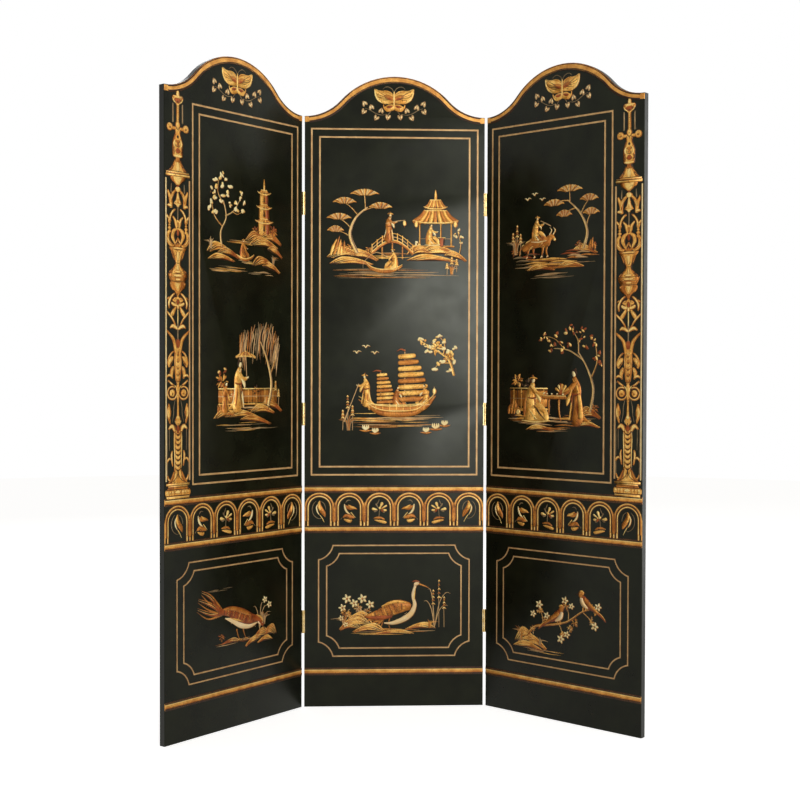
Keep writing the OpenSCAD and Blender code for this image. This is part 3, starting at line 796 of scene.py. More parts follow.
def column(art):
    """The chevron column on its skirt of leaves, with a drooping leaf cap."""
    art.turned("gold", [(683, 34), (690, 28), (698, 21), (707, 17), (716, 14), (735, 12.5),
                        (765, 13), (795, 14.5), (815, 14), (823, 10)])
    art.pair("amber", [(30, 686), (22, 694), (16, 706), (12, 716)], (3, 3.5, 3, 1), 2)
    art.pair("pale", [(7, 688), (9, 700), (10, 712)], (1.5, 2.5, 1), 2)
    art.pair("umber", [(1, 712), (4, 700), (14, 690), (26, 685)], (0.5, 1.1, 1.1, 0.6), 3)
    art.turned("umber", [(694, 0.6), (706, 1.8), (714, 1.0)], 3)
    for z in (811, 798, 785, 771, 758, 745, 731, 718):
        art.touch("amber", [(-10, z + 6), (-5, z), (0, z - 2), (5, z), (10, z + 6)],
                  (0.5, 2.4, 3.0, 2.4, 0.5), 2)
        art.touch("umber", [(-8, z + 3), (0, z - 3), (8, z + 3)], (0.5, 1.9, 0.5), 3.4)
        art.touch("pale", [(-9, z + 10), (0, z + 4.5), (9, z + 10)], (0.3, 1.0, 0.3), 3)
    art.pair("pale", [(12, 722), (11.5, 750), (13, 795), (12.5, 815)], (0.5, 1.2, 1.4, 0.5), 3)
    art.pair("amber", [(6, 818), (10, 826), (11, 834)], (3, 3, 1))
    art.turned("rust", [(812, 1), (819, 6), (828, 7), (834, 2)], 2)
    art.pair("pale", [(12, 819), (16, 829), (23, 832), (32, 824)], (2, 5, 4.6, 0.8), 2)
    art.pair("dim", [(29.5, 824), (29.5, 800), (29, 768)], (0.8, 1.0, 0.5))
    art.pair("dim", [(36, 824), (36.5, 780), (36, 752)], (0.5, 0.9, 0.4))
    art.pair("pale", [(18, 728), (20.5, 742), (22, 757), (19.5, 768)], (0.8, 1.8, 2.4, 0.8), 2)
    art.pair("pale", [(22, 744), (28, 748), (34, 745), (38, 737)], (0.8, 2.0, 2.2, 0.8), 2)
    art.pair("dim", [(36, 742), (36.5, 720), (36, 703)], (1.0, 1.2, 1.0))
    art.pair("pale", [(36, 703), (32, 694), (26, 691), (20, 699), (17.5, 706)],
             (1.0, 1.8, 2.0, 1.6, 0.6), 2)


def bud_stage(art):
    """A bud on the column, its thin stem, and a spear leaf on each side."""
    art.turned("gold", [(831, 2), (838, 9), (844, 11.5), (851, 9.5), (858, 5), (868, 4.2),
                        (885, 2.8), (905, 2.6)])
    art.turned("pale", [(851, 7), (855, 6.5), (859, 2)], 2)
    art.pair("umber", [(1, 845), (6, 843), (9, 848)], (0.6, 1.1, 0.4), 2)
    art.pair("pale", [(7.5, 838), (9.5, 845)], (0.5, 1.4), 2)
    art.turned("umber", [(833, 0.5), (838, 2.2), (842, 0.6)], 2)
    art.pair("gold", [(27, 838), (29.5, 852), (31, 866), (31.5, 878), (31, 891)], (0.4, 4, 7.5, 5, 0.4))
    art.pair("pale", [(28, 845), (34, 862), (34, 876), (31, 888)], (0.4, 2.2, 2, 0.3), 2)
    art.pair("amber", [(27, 850), (26.5, 864), (29, 876)], (0.4, 2.4, 0.4), 2)
    art.pair("dim", [(9, 902), (14, 882), (15, 862), (20, 842)], (0.5, 1.1, 0.9, 0.5))


def volute_stage(art):
    """A pair of big volutes with raised eyes, and the tendrils above them."""
    for side in (-1, 1):
        art.ring("pale", side * 19.5, 918.5, 16.3, 1.7, 1, side * -28, side * 322)
        art.ring("umber", side * 19.5, 918.5, 12.3, 2.2)
        art.ring("amber", side * 19.5, 918.5, 17.8, 0.7, 2, side * 30, side * 180)
        art.dot("gold", side * 19.5, 918.5, 9.3)
        art.ring("pale", side * 20.0, 919.5, 6.2, 1.2, 3, side * -70, side * 230)
        art.dot("amber", side * 19.0, 917.0, 3.2, 3)
    art.turned("gold", [(896, 2.6), (915, 3.6), (926, 5.5), (934, 5), (941, 4)], 2)
    art.pair("pale", [(3, 922), (6, 932), (12, 939)], (0.5, 1.5, 0.5), 3)
    art.pair("pale", [(15, 939), (24, 944), (34, 952)], (1.2, 1.9, 0.6))
    art.pair("dim", [(33, 950), (38, 946)], (1.0, 0.5))


def club_stage(art):
    """A jointed club with side leaves, and two long leaves that flare from it."""
    art.turned("gold", [(938, 3.5), (946, 6), (962, 8.5), (985, 10.5), (1005, 11.5),
                        (1026, 11.5), (1036, 9)])
    for z in (1019, 1002, 984, 967, 951):
        art.touch("amber", [(-4, z + 4), (0, z - 3), (4, z + 4)], (1.5, 3.4, 1.5), 2)
        art.touch("umber", [(-3, z), (0, z - 3), (3, z)], (0.4, 1.2, 0.4), 3)
        art.touch("pale", [(-3.5, z + 7), (0, z + 6), (3.5, z + 7)], (0.4, 2.0, 0.4), 3)
    art.pair("pale", [(6, 950), (9, 980), (10, 1008), (8.5, 1030)], (0.5, 1.4, 1.6, 0.8), 2)
    art.turned("rust", [(1030, 1), (1040, 6), (1050, 9), (1058, 5)])
    art.pair("gold", [(7, 1026), (10, 1042), (15, 1057), (24, 1068), (38, 1080)],
             (4.5, 4.2, 4.0, 3.0, 1.2), 2)
    art.pair("pale", [(12, 1046), (18, 1060), (28, 1070), (39, 1080)], (0.4, 1.5, 1.3, 0.6), 3)
    art.turned("dim", [(1040, 1.2), (1065, 2.2), (1080, 2.2), (1100, 2.4), (1135, 2.2)])
    art.pair("pale", [(15, 1027), (23, 1021), (30, 1011), (34, 1001)], (0.7, 1.6, 1.7, 0.6), 2)
    art.pair("gold", [(17, 1012), (24, 1006), (29, 997), (30, 985)], (2, 7.5, 7.5, 0.8))
    art.pair("pale", [(19, 1009), (26, 1003), (32, 1000)], (0.6, 2.2, 0.6), 2)
    art.pair("amber", [(19, 1003), (25, 996), (29, 990)], (0.6, 1.8, 0.6), 2)
    art.pair("gold", [(16, 986), (20, 978), (22, 966), (18, 956)], (2.5, 5, 4, 0.6))
    art.pair("pale", [(16, 985), (18, 979), (20, 971)], (1, 2.2, 0.6), 2)
    art.pair("pale", [(17, 958), (24, 963.5), (31, 965), (38, 960)], (0.8, 2.4, 2.6, 0.8), 2)


def lily_stage(art):
    """Two drooping leaves on the stem, and lily arms that reach the borders."""
    art.pair("pale", [(2, 1085), (10, 1091), (19, 1093), (27, 1087)], (2.2, 4.0, 3.8, 0.8), 2)
    art.pair("amber", [(4, 1083), (12, 1087), (21, 1088)], (0.5, 1.2, 0.4), 3)
    art.pair("pale", [(39, 1131), (30, 1123), (20, 1113), (12, 1101), (8, 1093)],
             (1.0, 2.2, 1.8, 1.4, 0.8), 2)
    art.pair("gold", [(8, 1141), (14, 1132), (20, 1123), (24, 1117)], (2.0, 4.6, 5.0, 1.0))
    art.pair("pale", [(10, 1139), (18, 1130), (25, 1123)], (0.5, 1.4, 0.5), 3)
    art.turned("pale", [(1098, 1.0), (1118, 1.4), (1138, 1.2)], 2)


def heart_stage(art):
    """A fan of petals under a dark arch, held by two side hooks."""
    art.pair("umber", [(1, 1172), (14, 1169), (23, 1159), (24, 1148), (19, 1139)],
             (1.5, 2.4, 2.4, 2.2, 0.8))
    art.turned("gold", [(1138, 1), (1144, 8), (1150, 13), (1158, 14), (1165, 9), (1170, 3)])
    art.pair("pale", [(4, 1146), (13, 1148), (20, 1152)], (1.5, 4.5, 3), 2)
    art.pair("gold", [(6, 1156), (13, 1160), (17, 1159)], (1.5, 5, 1.5), 2)
    art.pair("pale", [(6, 1166), (11, 1164), (15, 1160)], (0.6, 1.8, 0.6), 3)
    art.pair("umber", [(7, 1154), (12, 1154), (18, 1156)], (0.3, 0.9, 0.3), 3)
    art.turned("rust", [(1148, 2), (1154, 5.5), (1160, 4), (1163, 1)], 3)
    art.turned("pale", [(1137, 1.5), (1143, 3.4), (1148, 1.0)], 3)
    art.pair("pale", [(10, 1178), (19, 1172), (27, 1162), (31, 1151), (29, 1138)],
             (0.8, 2.2, 2.6, 2.4, 0.8), 2)
    art.pair("pale", [(29, 1166), (36, 1163)], (1.6, 0.7), 2)


def vase_stage(art):
    """A bulb, a wide body with turned lines, and a funnel vase."""
    art.turned("amber", [(1170, 3.4), (1180, 9), (1188, 20), (1197, 27), (1205, 27.5), (1208, 24)])
    art.turned("gold", [(1183, 2), (1190, 12), (1199, 18), (1206, 17)], 2)
    art.turned("pale", [(1188, 1), (1196, 6), (1204, 8)], 3)
    art.pair("pale", [(20, 1204), (25, 1202)], (0.8, 1.6), 2)
    art.turned("gold", [(1206, 22), (1212, 27), (1219, 31), (1226, 33), (1229, 33), (1236, 26),
                        (1243, 17), (1250, 11), (1256, 9), (1262, 11), (1272, 15), (1284, 21),
                        (1291, 28), (1297, 31)])
    art.turned("amber", [(1210, 20), (1215, 24), (1219, 26)], 2)
    for z, half in ((1208, 24), (1219, 30), (1229, 32), (1256, 9), (1291, 26)):
        art.touch("umber", [(-half, z + 0.8), (0, z), (half, z + 0.8)], (0.3, 1.0, 0.3), 3)
    for z, half in ((1224, 20), (1234, 14), (1214, 13)):
        art.touch("pale", [(-half, z), (0, z), (half, z)], (0.5, 3.2, 0.5), 3)
    art.turned("pale", [(1238, 4), (1246, 3), (1252, 1)], 3)
    art.turned("pale", [(1262, 1.5), (1274, 4.5), (1286, 5.5)], 3)
    art.pair("amber", [(13, 1264), (17, 1276), (22, 1286)], (1.2, 2.4, 1.5), 2)
    art.touch("pale", [(-26, 1293), (0, 1295), (26, 1293)], (0.8, 2.6, 0.8), 3)
    art.pair("amber", [(18, 1240), (27, 1233), (31, 1228)], (1.0, 2.0, 0.6), 2)


def palmette_stage(art):
    """Crossed leaves over the vase, in two broad lobes round a pointed arch."""
    art.pair("gold", [(15, 1301), (25, 1304), (33, 1315), (34, 1329), (27, 1342)],
             (2, 4.5, 5.5, 5, 1.5))
    art.pair("gold", [(6, 1302), (14, 1313), (19, 1326), (15, 1338), (5, 1345)], (1, 4.5, 5.5, 5, 2), 2)
    art.pair("pale", [(17, 1302), (28, 1308), (35, 1318), (36, 1328)], (0.5, 1.7, 1.7, 0.4), 3)
    art.pair("umber", [(9, 1302), (18, 1312), (25, 1324), (22, 1338)], (0.6, 1.5, 1.3, 0.5), 3)
    art.pair("umber", [(3, 1304), (9, 1316), (11, 1327), (7, 1336)], (0.6, 1.9, 1.7, 0.5), 3)
    art.pair("umber", [(26, 1310), (29, 1320), (28, 1330)], (0.3, 1.0, 0.3), 3)
    art.pair("pale", [(0, 1322), (5, 1312), (13, 1302)], (0.7, 1.7, 1.0), 3)
    art.pair("pale", [(12, 1341), (18, 1334), (20, 1325)], (0.5, 1.6, 0.5), 3)
    art.turned("rust", [(1325, 1), (1332, 5), (1340, 4), (1344, 1)], 2)
    art.turned("amber", [(1298, 12), (1304, 6), (1309, 1)])


def arch_stage(art):
    """Arched sprays and a pointed calyx that carry the leaf tier."""
    art.turned("gold", [(1341, 3), (1348, 5.5), (1356, 8), (1364, 7), (1368, 3)])
    art.pair("gold", [(2, 1344), (6, 1356), (9, 1367), (18, 1377)], (2, 3.4, 3.2, 0.9), 2)
    art.pair("pale", [(5, 1352), (9, 1366), (17, 1376)], (0.4, 1.3, 0.6), 3)
    art.turned("amber", [(1347, 1), (1356, 3), (1362, 0.8)], 3)
    art.pair("pale", [(8, 1396), (16, 1391), (23, 1382), (27, 1371), (28, 1361)],
             (0.8, 2.0, 2.3, 2.3, 1.2), 2)
    art.pair("pale", [(39, 1380), (34, 1374), (29, 1368)], (0.8, 2.4, 1.2), 2)
    art.pair("gold", [(28, 1373), (28.5, 1366), (28, 1358)], (1, 5, 1.5))
    for z, r in ((1354, 3.4), (1346, 5.6), (1337, 5.0)):
        art.pair("gold", [(28, z - r * 0.7), (28.3, z), (28, z + r * 0.7)], (1.2, r, 1.2))
        art.pair("pale", [(27, z), (29, z + 1)], (1.2, 0.4), 2)
    art.turned("dim", [(1368, 1.6), (1390, 2.2), (1404, 2.6)])


def leaf_tier(art):
    """A pointed leaf between two forked ones, under the ball."""
    art.turned("pale", [(1402, 2.6), (1407, 6), (1410, 13), (1414, 11), (1422, 6), (1432, 3.5),
                        (1441, 1.4)])
    art.pair("amber", [(4, 1411), (8, 1412), (12, 1411)], (0.6, 1.3, 0.4), 3)
    art.turned("gold", [(1408, 1), (1414, 4.5), (1424, 2.4)], 2)
    art.pair("gold", [(23, 1401), (24, 1412), (25, 1424), (31, 1435), (34, 1444)],
             (4, 4.5, 5.2, 3, 0.8))
    art.pair("gold", [(24, 1420), (20, 1431), (13, 1440), (6, 1446)], (4, 4, 3, 1.2))
    art.pair("pale", [(22, 1408), (22.5, 1420), (17, 1432), (9, 1442)], (0.5, 1.7, 1.5, 0.5), 2)
    art.pair("amber", [(26, 1410), (27, 1424)], (0.6, 1.4), 2)
    art.pair("pale", [(20, 1402), (28, 1405), (35, 1404)], (1.2, 3.6, 1.0), 2)
    art.pair("dim", [(23, 1440), (22.5, 1450), (22, 1462)], (2.0, 1.7, 0.8))
    art.turned("pale", [(1441, 4), (1446, 9.4), (1451, 8.5), (1454, 4)], 2)
    art.turned("rust", [(1452, 3.6), (1457, 4.0), (1460, 6)])


def entablature(art):
    """An inverted bell under a moulded slab, and the cone that stands on it."""
    art.turned("gold", [(1458, 5), (1462, 11), (1468, 19), (1474, 25), (1481, 27)])
    art.turned("pale", [(1461, 3), (1467, 11), (1475, 16), (1480, 14)], 2)
    moulding(art, 1481, 40.5, 6.5)
    moulding(art, 1487, 39, 6, "amber")
    art.turned("gold", [(1492, 38), (1496, 31), (1502, 25), (1510, 18), (1520, 12.5), (1526, 9.5),
                        (1531, 9)])
    art.turned("amber", [(1518, 8), (1525, 8), (1531, 7.5)], 2)
    art.turned("pale", [(1495, 4), (1503, 6.5), (1511, 5.5), (1519, 2)], 2)
    art.pair("amber", [(15, 1508), (23, 1499), (32, 1494)], (0.8, 2.2, 0.8), 2)
    art.touch("umber", [(-31, 1495), (0, 1494), (31, 1495)], (0.6, 1.0, 0.6), 3)


def top_vase(art):
    """The painted vase with its volute handles, rods, dish and finial."""
    art.turned("gold", [(1530, 13), (1533, 17), (1541, 17.8), (1552, 18.3), (1564, 18.3),
                        (1575, 16.5), (1584, 13), (1591, 10.5), (1600, 10), (1607, 10)])
    art.touch("pale", [(-14, 1535), (0, 1533.5), (14, 1535)], (1.8, 4.4, 1.8), 2)
    art.turned("rust", [(1541, 3), (1546, 11), (1551, 7), (1556, 1)], 2)
    art.pair("amber", [(8, 1541), (14, 1548), (13, 1556)], (0.8, 2.2, 0.8), 2)
    art.pair("pale", [(11, 1556), (13, 1566), (9, 1577)], (1.2, 3.6, 1.0), 2)
    art.turned("amber", [(1557, 1.5), (1562, 4.5), (1568, 2), (1572, 9), (1576, 4)], 3)
    art.turned("umber", [(1579, 1), (1584, 4), (1588, 1)], 3)
    art.pair("umber", [(2, 1556), (7, 1560), (9, 1566)], (0.3, 0.9, 0.3), 3)
    art.pair("pale", [(5, 1590), (7, 1600)], (0.6, 1.6), 2)
    art.pair("gold", [(8, 1606), (15, 1605), (20, 1607)], (3, 3.4, 3))
    for side in (-1, 1):
        art.dot("gold", side * 27.5, 1607, 10.2, 1)
        art.ring("pale", side * 27.5, 1607, 7.6, 1.6, 2, side * -100, side * 290)
        art.dot("amber", side * 27.0, 1606, 2.6, 3)
    art.turned("gold", [(1605, 3), (1610, 8.5), (1615, 9.5), (1620, 7), (1622, 3)], 2)
    art.touch("umber", [(-7, 1608), (0, 1603), (7, 1608)], (0.4, 1.4, 0.4), 3)
    art.touch("pale", [(-4, 1616), (1, 1617)], (1.2, 2.4), 3)
    art.turned("gold", [(1620, 3.6), (1667, 3.4)])
    for z in range(1624, 1666, 5):
        art.dot("pale", 0.3, z, 2.1)
    art.pair("dim", [(16.6, 1621), (16.6, 1668)], (2.3, 2.2))
    art.pair("tan", [(15.8, 1623), (15.8, 1666)], (0.7,), 2)
    art.turned("gold", [(1665, 4), (1670, 10), (1676, 17), (1683, 19.5), (1688, 18), (1690.5, 15)])
    art.turned("rust", [(1670, 3), (1675, 10), (1680, 13), (1684, 9)], 2)
    art.touch("umber", [(-9, 1677), (0, 1674), (9, 1677)], (0.5, 2.2, 0.5), 3)
    art.pair("pale", [(6, 1671), (13, 1675), (17.5, 1683)], (0.6, 1.4, 0.8), 3)
    art.touch("pale", [(-15, 1688), (0, 1687.4), (15, 1688)], (0.8, 1.5, 0.8), 3)
    art.turned("pale", [(1690, 5), (1694, 4.6), (1700, 4.0), (1704, 2.2)])


STAGES = (plinth, column, bud_stage, volute_stage, club_stage, lily_stage, heart_stage,
          vase_stage, palmette_stage, arch_stage, leaf_tier, entablature, top_vase)
for leaf in ("left", "right"):
    candelabrum = Painting(leaf, SIDE[leaf] * (HALF_W - PILASTER_MID))
    # Here the darker copies sit nearly centred and 1.2 mm wider: painted shade as a dark rim round each
    # form, a little deeper below and to the right.
    candelabrum.shade = (0.2, -0.3, 1.2)
    for stage in STAGES:
        stage(candelabrum)
    # The outer border line is a real gilt line. The cream stroke painted over it is a painted highlight:
    # the sheen on the leaf's outer arris beside it.
    border = SIDE[leaf] * PILASTER_W / 2
    candelabrum.touch("cream", [(border, BORDER_Z[0]), (border, BORDER_Z[1])], (1.2,), 3)
    candelabrum.piece(f"{leaf}_candelabrum", sides=2)

# ------------------------ the pictures on the leaves
# Each leaf has two scenes in its tall panel and one in its low one, laid in
# gesso, gold and japan colours. Bridges, boats, trees, people and rocks here
# are of this screen's own drawing.
SEED = 7
hand = random.Random(SEED)


def wander(amount):
    """A small random shift either way."""
    return hand.uniform(-amount, amount)


def along(path, t):
    """The point at a share of a path, and its direction there."""
    at = t * (len(path) - 1)
    k = min(int(at), len(path) - 2)
    a, b = Vector(path[k]), Vector(path[k + 1])
    return a.lerp(b, at - k), (b - a).normalized()


def blades(art, x, z, tall, count, lean, paints=("tan", "amber"), half=1.5):
    """A tuft of grass or reeds that fans out from its root."""
    for k in range(count):
        t = (k + 0.5) / count * 2 - 1 + wander(0.12)
        top = tall * hand.uniform(0.75, 1.0)
        fan = t * 0.8 + lean
        tip = x + fan * top
        art.touch(hand.choice(paints),
                  [(x + t * 4, z), (mix(x, tip, 0.3), z + top * 0.62),
                   (tip, z + top * (1 - 0.4 * min(1, abs(fan))))],
                  (half * 0.7, half, 0.2), 1 + k % 2)


def water(art, x0, x1, z, count, spread, paints=("gold", "tan", "amber")):
    """Level strokes of still water."""
    for k in range(count):
        a = mix(x0, x1, hand.uniform(0, 0.55))
        b = a + (x1 - x0) * hand.uniform(0.2, 0.45)
        level = z + wander(spread)
        art.touch(hand.choice(paints), [(a, level), ((a + b) / 2, level + wander(1.5)), (b, level)],
                  (0.2, hand.uniform(0.7, 1.3), 0.2))


def mound(art, x, z, half, tall, tilt=0.0, tone="gold"):
    """A rock of long strokes that lap from its left foot over its crown to its right foot."""
    rise = tilt * half
    art.touch("umber", [(x - half, z - rise), (x - half * 0.2, z + tall * 0.35),
                        (x + half * 0.95, z + rise)], (0.5, tall * 0.42, 0.5), 0)
    count = max(3, round(tall / 5.5))
    for k in range(count):
        s = k / count
        across = half * (1 - 0.4 * s)
        line = [(x - across + wander(2), z + tall * 0.1 * (1 - s) - rise),
                (x - half * (0.4 - 0.5 * s) + wander(3), z + tall * (0.95 - 0.85 * s)),
                (x + half * (0.3 + 0.25 * s), z + tall * (0.72 - 0.7 * s) + rise * 0.5),
                (x + half * (1.05 - 0.15 * s), z - tall * 0.15 * s + rise)]
        w = tall / count * hand.uniform(0.5, 0.62)
        art.touch("amber" if k % 3 == 2 else tone, line, (0.3, w, w * 0.85, 0.3))
        art.touch("pale" if k % 2 == 0 else "gold", [(px + 2, pz + w * 0.45) for px, pz in line[:3]],
                  (0.2, 1.1, 0.2), 2)
        art.touch("rust", [(px, pz - w * 0.6) for px, pz in line[1:]], (0.2, 1.0, 0.2), 2)


def shore(art, *rocks):
    """Several rocks, the far ones first, each given as a mound's place and measures."""
    for rock in rocks:
        mound(art, *rock)


def ground(art, x0, x1, z, rows, gap, paints):
    """Flat ground in long level strokes, brighter above and thinner at its ends."""
    for k in range(rows):
        for _ in range(2):
            a = mix(x0, x1, hand.uniform(0, 0.5))
            b = a + (x1 - x0) * hand.uniform(0.3, 0.5)
            level, w = z - k * gap + wander(1.5), hand.uniform(1.8, 3.2)
            art.touch(hand.choice(paints), [(a, level - 1), (mix(a, b, 0.35), level + 1.5),
                                            (mix(a, b, 0.7), level), (b, level - 2)],
                      (0.2, w, w * 0.8, 0.2))
            art.touch("umber", [(a + 8, level - w), (b - 6, level - w - 1)], (0.2, 0.9, 0.2), 2)


def crag(art, x, z, half, tall, lean, tone="gold"):
    """An upright rock of steep strokes."""
    count = max(3, round(half / 5))
    art.touch("umber", [(x, z), (x + lean * tall * 0.3, z + tall * 0.4),
                        (x + lean * tall * 0.6, z + tall * 0.6)], (half * 0.8, half * 0.6, 1.0), 0)
    for k in range(count):
        t = (k + 0.5) / count * 2 - 1
        top = tall * (1 - 0.55 * abs(t + 0.2)) * hand.uniform(0.85, 1)
        w = half / count * 0.95
        art.touch("amber" if k % 3 == 1 else tone,
                  [(x + t * half, z), (x + t * half * 0.9 + lean * top * 0.4 + wander(2), z + top * 0.5),
                   (x + t * half * 0.6 + lean * top, z + top)], (w * 0.7, w, 0.4))
        art.touch("pale", [(x + t * half - w * 0.4, z + top * 0.2),
                           (x + t * half * 0.6 + lean * top - w * 0.3, z + top * 0.85)],
                  (0.2, 1.0, 0.2), 2)


def bough(art, path, half, paint="amber"):
    """A trunk or branch with a lit side and knots."""
    art.touch(paint, path, (half, half * 0.8, half * 0.35))
    art.touch("pale", [(x - half * 0.35, z) for x, z in path], (half * 0.3, half * 0.25, 0.2), 2)
    art.touch("umber", [(x + half * 0.5, z) for x, z in path], (half * 0.25, half * 0.2, 0.2), 2)


def petals(art, spots, paint, size, spread, count, heart="amber"):
    """Loose clusters of petals and buds about some spots."""
    for x, z in spots:
        for k in range(count):
            r = size * hand.uniform(0.55, 1.0)
            art.dab(paint if k else "pale", x + hand.gauss(0, spread * 0.6),
                    z + hand.gauss(0, spread * 0.5), r, r * hand.uniform(0.5, 0.8), wander(1.5))
        art.touch(heart, [(x - 2, z - 3), (x + wander(4), z + 2)], (0.4, 1.0, 0.3), 3)


def leafage(art, x, z, reach, count, paints=("amber", "gold", "tan"), half=2.4, squash=1.0):
    """A bush: leaves of uneven length that spring from about its middle."""
    for k in range(count * 2):
        a = math.pi * k / count + wander(0.5)
        c, s = math.cos(a), math.sin(a) * squash
        near = reach * hand.uniform(0.0, 0.45)
        far = near + reach * hand.uniform(0.35, 0.62)
        px, pz = x + wander(reach * 0.14), z + wander(reach * 0.14)
        art.touch(hand.choice(paints),
                  [(px + near * c, pz + near * s), (px + (near + far) / 2 * c + wander(1.5),
                                                    pz + (near + far) / 2 * s + 1.5),
                   (px + far * c, pz + far * s)], (0.4, half * hand.uniform(0.55, 0.85), 0.3),
                  1 + k % 2)


def straw_hat(art, x, z, tall):
    """A wide hat, pointed at the top."""
    art.touch("amber", [(x, z + tall * 0.04), (x, z + tall * 0.11)], (tall * 0.05, 0.5), 3)
    art.touch("gold", [(x - tall * 0.1, z + tall * 0.035), (x, z + tall * 0.05),
                       (x + tall * 0.1, z + tall * 0.035)], (0.5, tall * 0.03, 0.5), 4)


def person(art, x, z, tall, cloth, trim, way, reach, seated=False, hat=False):
    """A robed person, side on and facing a way, with a plain head and one arm held out."""
    def at(u, v):
        return (x + way * u * tall, z + v * tall)

    def fold(paint, path, widths, layer):
        art.touch(paint, [at(u, v) for u, v in path], [w * tall for w in widths], layer)

    if seated:
        fold(cloth, [(0.02, 0.8), (-0.04, 0.6), (-0.07, 0.38), (-0.06, 0.1)],
             (0.06, 0.12, 0.15, 0.19), 1)
        fold(cloth, [(-0.04, 0.1), (0.14, 0.13), (0.34, 0.08)], (0.12, 0.13, 0.08), 1)
        fold(cloth, [(0.02, 0.3), (0.18, 0.31), (0.3, 0.23), (0.36, 0.07)],
             (0.13, 0.11, 0.085, 0.09), 1)
        fold("amber" if cloth != "amber" else "rust",
             [(-0.14, 0.58), (-0.19, 0.36), (-0.2, 0.1)], (0.01, 0.04, 0.02), 2)
        for k in range(4):
            fold("umber", [(0.02 + k * 0.03, 0.36 - k * 0.04), (0.14 + k * 0.03, 0.27 - k * 0.04),
                           (0.2 + k * 0.05, 0.1 - k * 0.02)], (0.004, 0.013, 0.004), 3)
            fold(trim, [(-0.1 + k * 0.03, 0.3 - k * 0.03), (0.0 + k * 0.03, 0.17 - k * 0.03),
                        (0.06 + k * 0.03, 0.05)], (0.004, 0.016, 0.004), 3)
        fold(trim, [(0.24, 0.34), (0.36, 0.26), (0.43, 0.1)], (0.008, 0.018, 0.008), 2)
        fold(trim, [(-0.26, 0.02), (0.08, -0.01), (0.46, 0.03)], (0.01, 0.02, 0.01), 3)
    else:
        fold(cloth, [(0.02, 0.8), (-0.03, 0.62), (-0.02, 0.34), (-0.03, 0.04)],
             (0.055, 0.105, 0.12, 0.165), 1)
        fold(cloth, [(-0.1, 0.16), (-0.2, 0.05), (-0.3, 0.015)], (0.06, 0.05, 0.01), 1)
        fold(trim, [(-0.11, 0.6), (-0.12, 0.3), (-0.2, 0.06)], (0.006, 0.02, 0.008), 2)
        fold("umber", [(0.02, 0.5), (0.04, 0.26), (0.08, 0.03)], (0.006, 0.016, 0.006), 3)
        fold("amber" if cloth != "amber" else "rust",
             [(-0.04, 0.46), (-0.06, 0.24), (-0.09, 0.06)], (0.008, 0.03, 0.02), 2)
        fold(trim, [(0.07, 0.46), (0.1, 0.24), (0.13, 0.04)], (0.008, 0.02, 0.01), 2)
        fold("umber", [(0.06, 0.015), (0.13, 0.0), (0.17, 0.005)], (0.02, 0.022, 0.01), 2)
    fold("rust", [(-0.1, 0.52), (0.0, 0.5), (0.09, 0.52)], (0.012, 0.018, 0.012), 3)
    fold("rust", [(0.05, 0.5), (0.08, 0.4), (0.06, 0.3)], (0.012, 0.014, 0.004), 3)
    u, v = reach
    fold(cloth, [(-0.01, 0.74), (u * 0.45, 0.6), (u, v)], (0.05, 0.06, 0.03), 2)
    fold(trim, [(u * 0.3, 0.6), (u * 0.62, v - 0.1), (u * 0.72, v - 0.2)], (0.012, 0.045, 0.008), 3)
    fold("cream", [(u, v), (u + 0.04, v + 0.02)], (0.018, 0.016), 3)
    fold(trim, [(-0.03, 0.78), (0.03, 0.74), (0.06, 0.8)], (0.008, 0.014, 0.006), 3)
    art.dab("cream", *at(0.035, 0.885), tall * 0.058, tall * 0.045, way * 0.2, 3)
    fold("umber", [(0.07, 0.93), (0.02, 0.95), (-0.02, 0.9), (-0.015, 0.85)],
         (0.008, 0.024, 0.026, 0.008), 4)
    art.dot("umber", *at(-0.005, 0.965), tall * 0.024, 4)
    if hat:
        straw_hat(art, *at(0.03, 0.89), tall)


def roof(art, x, z, half, tall):
    """A tiled roof with swept-up eaves."""
    for k in range(9):
        u = (k - 4) / 4
        art.touch("gold" if k % 2 else "amber",
                  [(x + u * half, z + abs(u) ** 3 * 3), (x + u * half * 0.72, z + tall * 0.45),
                   (x + u * half * 0.5, z + tall)], (half * 0.11, half * 0.1, half * 0.07))
    art.touch("pale", [(x - half - 5, z + 6), (x - half * 0.6, z), (x, z - 1), (x + half * 0.6, z),
                       (x + half + 5, z + 6)], (0.6, 1.8, 1.6, 1.8, 0.6), 3)
    art.touch("pale", [(x - half * 0.5, z + tall + 1), (x + half * 0.5, z + tall + 1)], (1.4,), 3)
    art.touch("umber", [(x - half * 0.9, z + 4), (x, z + 2.5), (x + half * 0.9, z + 4)],
              (0.4, 0.9, 0.4), 2)


def pavilion(art, x, z, half, tall):
    """An open garden house: a step, four posts, a rail and a roof."""
    for k in range(4):
        px = x - half * 0.85 + 1.7 * half * k / 3
        art.touch("gold", [(px, z), (px, z + tall * 0.62)], (1.8, 1.6))
        art.touch("umber", [(px + 1.4, z), (px + 1.4, z + tall * 0.62)], (0.5,), 2)
    art.touch("amber", [(x - half, z), (x + half, z)], (2.2,))
    art.touch("pale", [(x - half, z + 2), (x + half, z + 2)], (0.7,), 2)
    art.touch("tan", [(x - half * 0.85, z + tall * 0.2), (x + half * 0.85, z + tall * 0.2)], (0.9,))
    roof(art, x, z + tall * 0.62, half * 1.15, tall * 0.3)


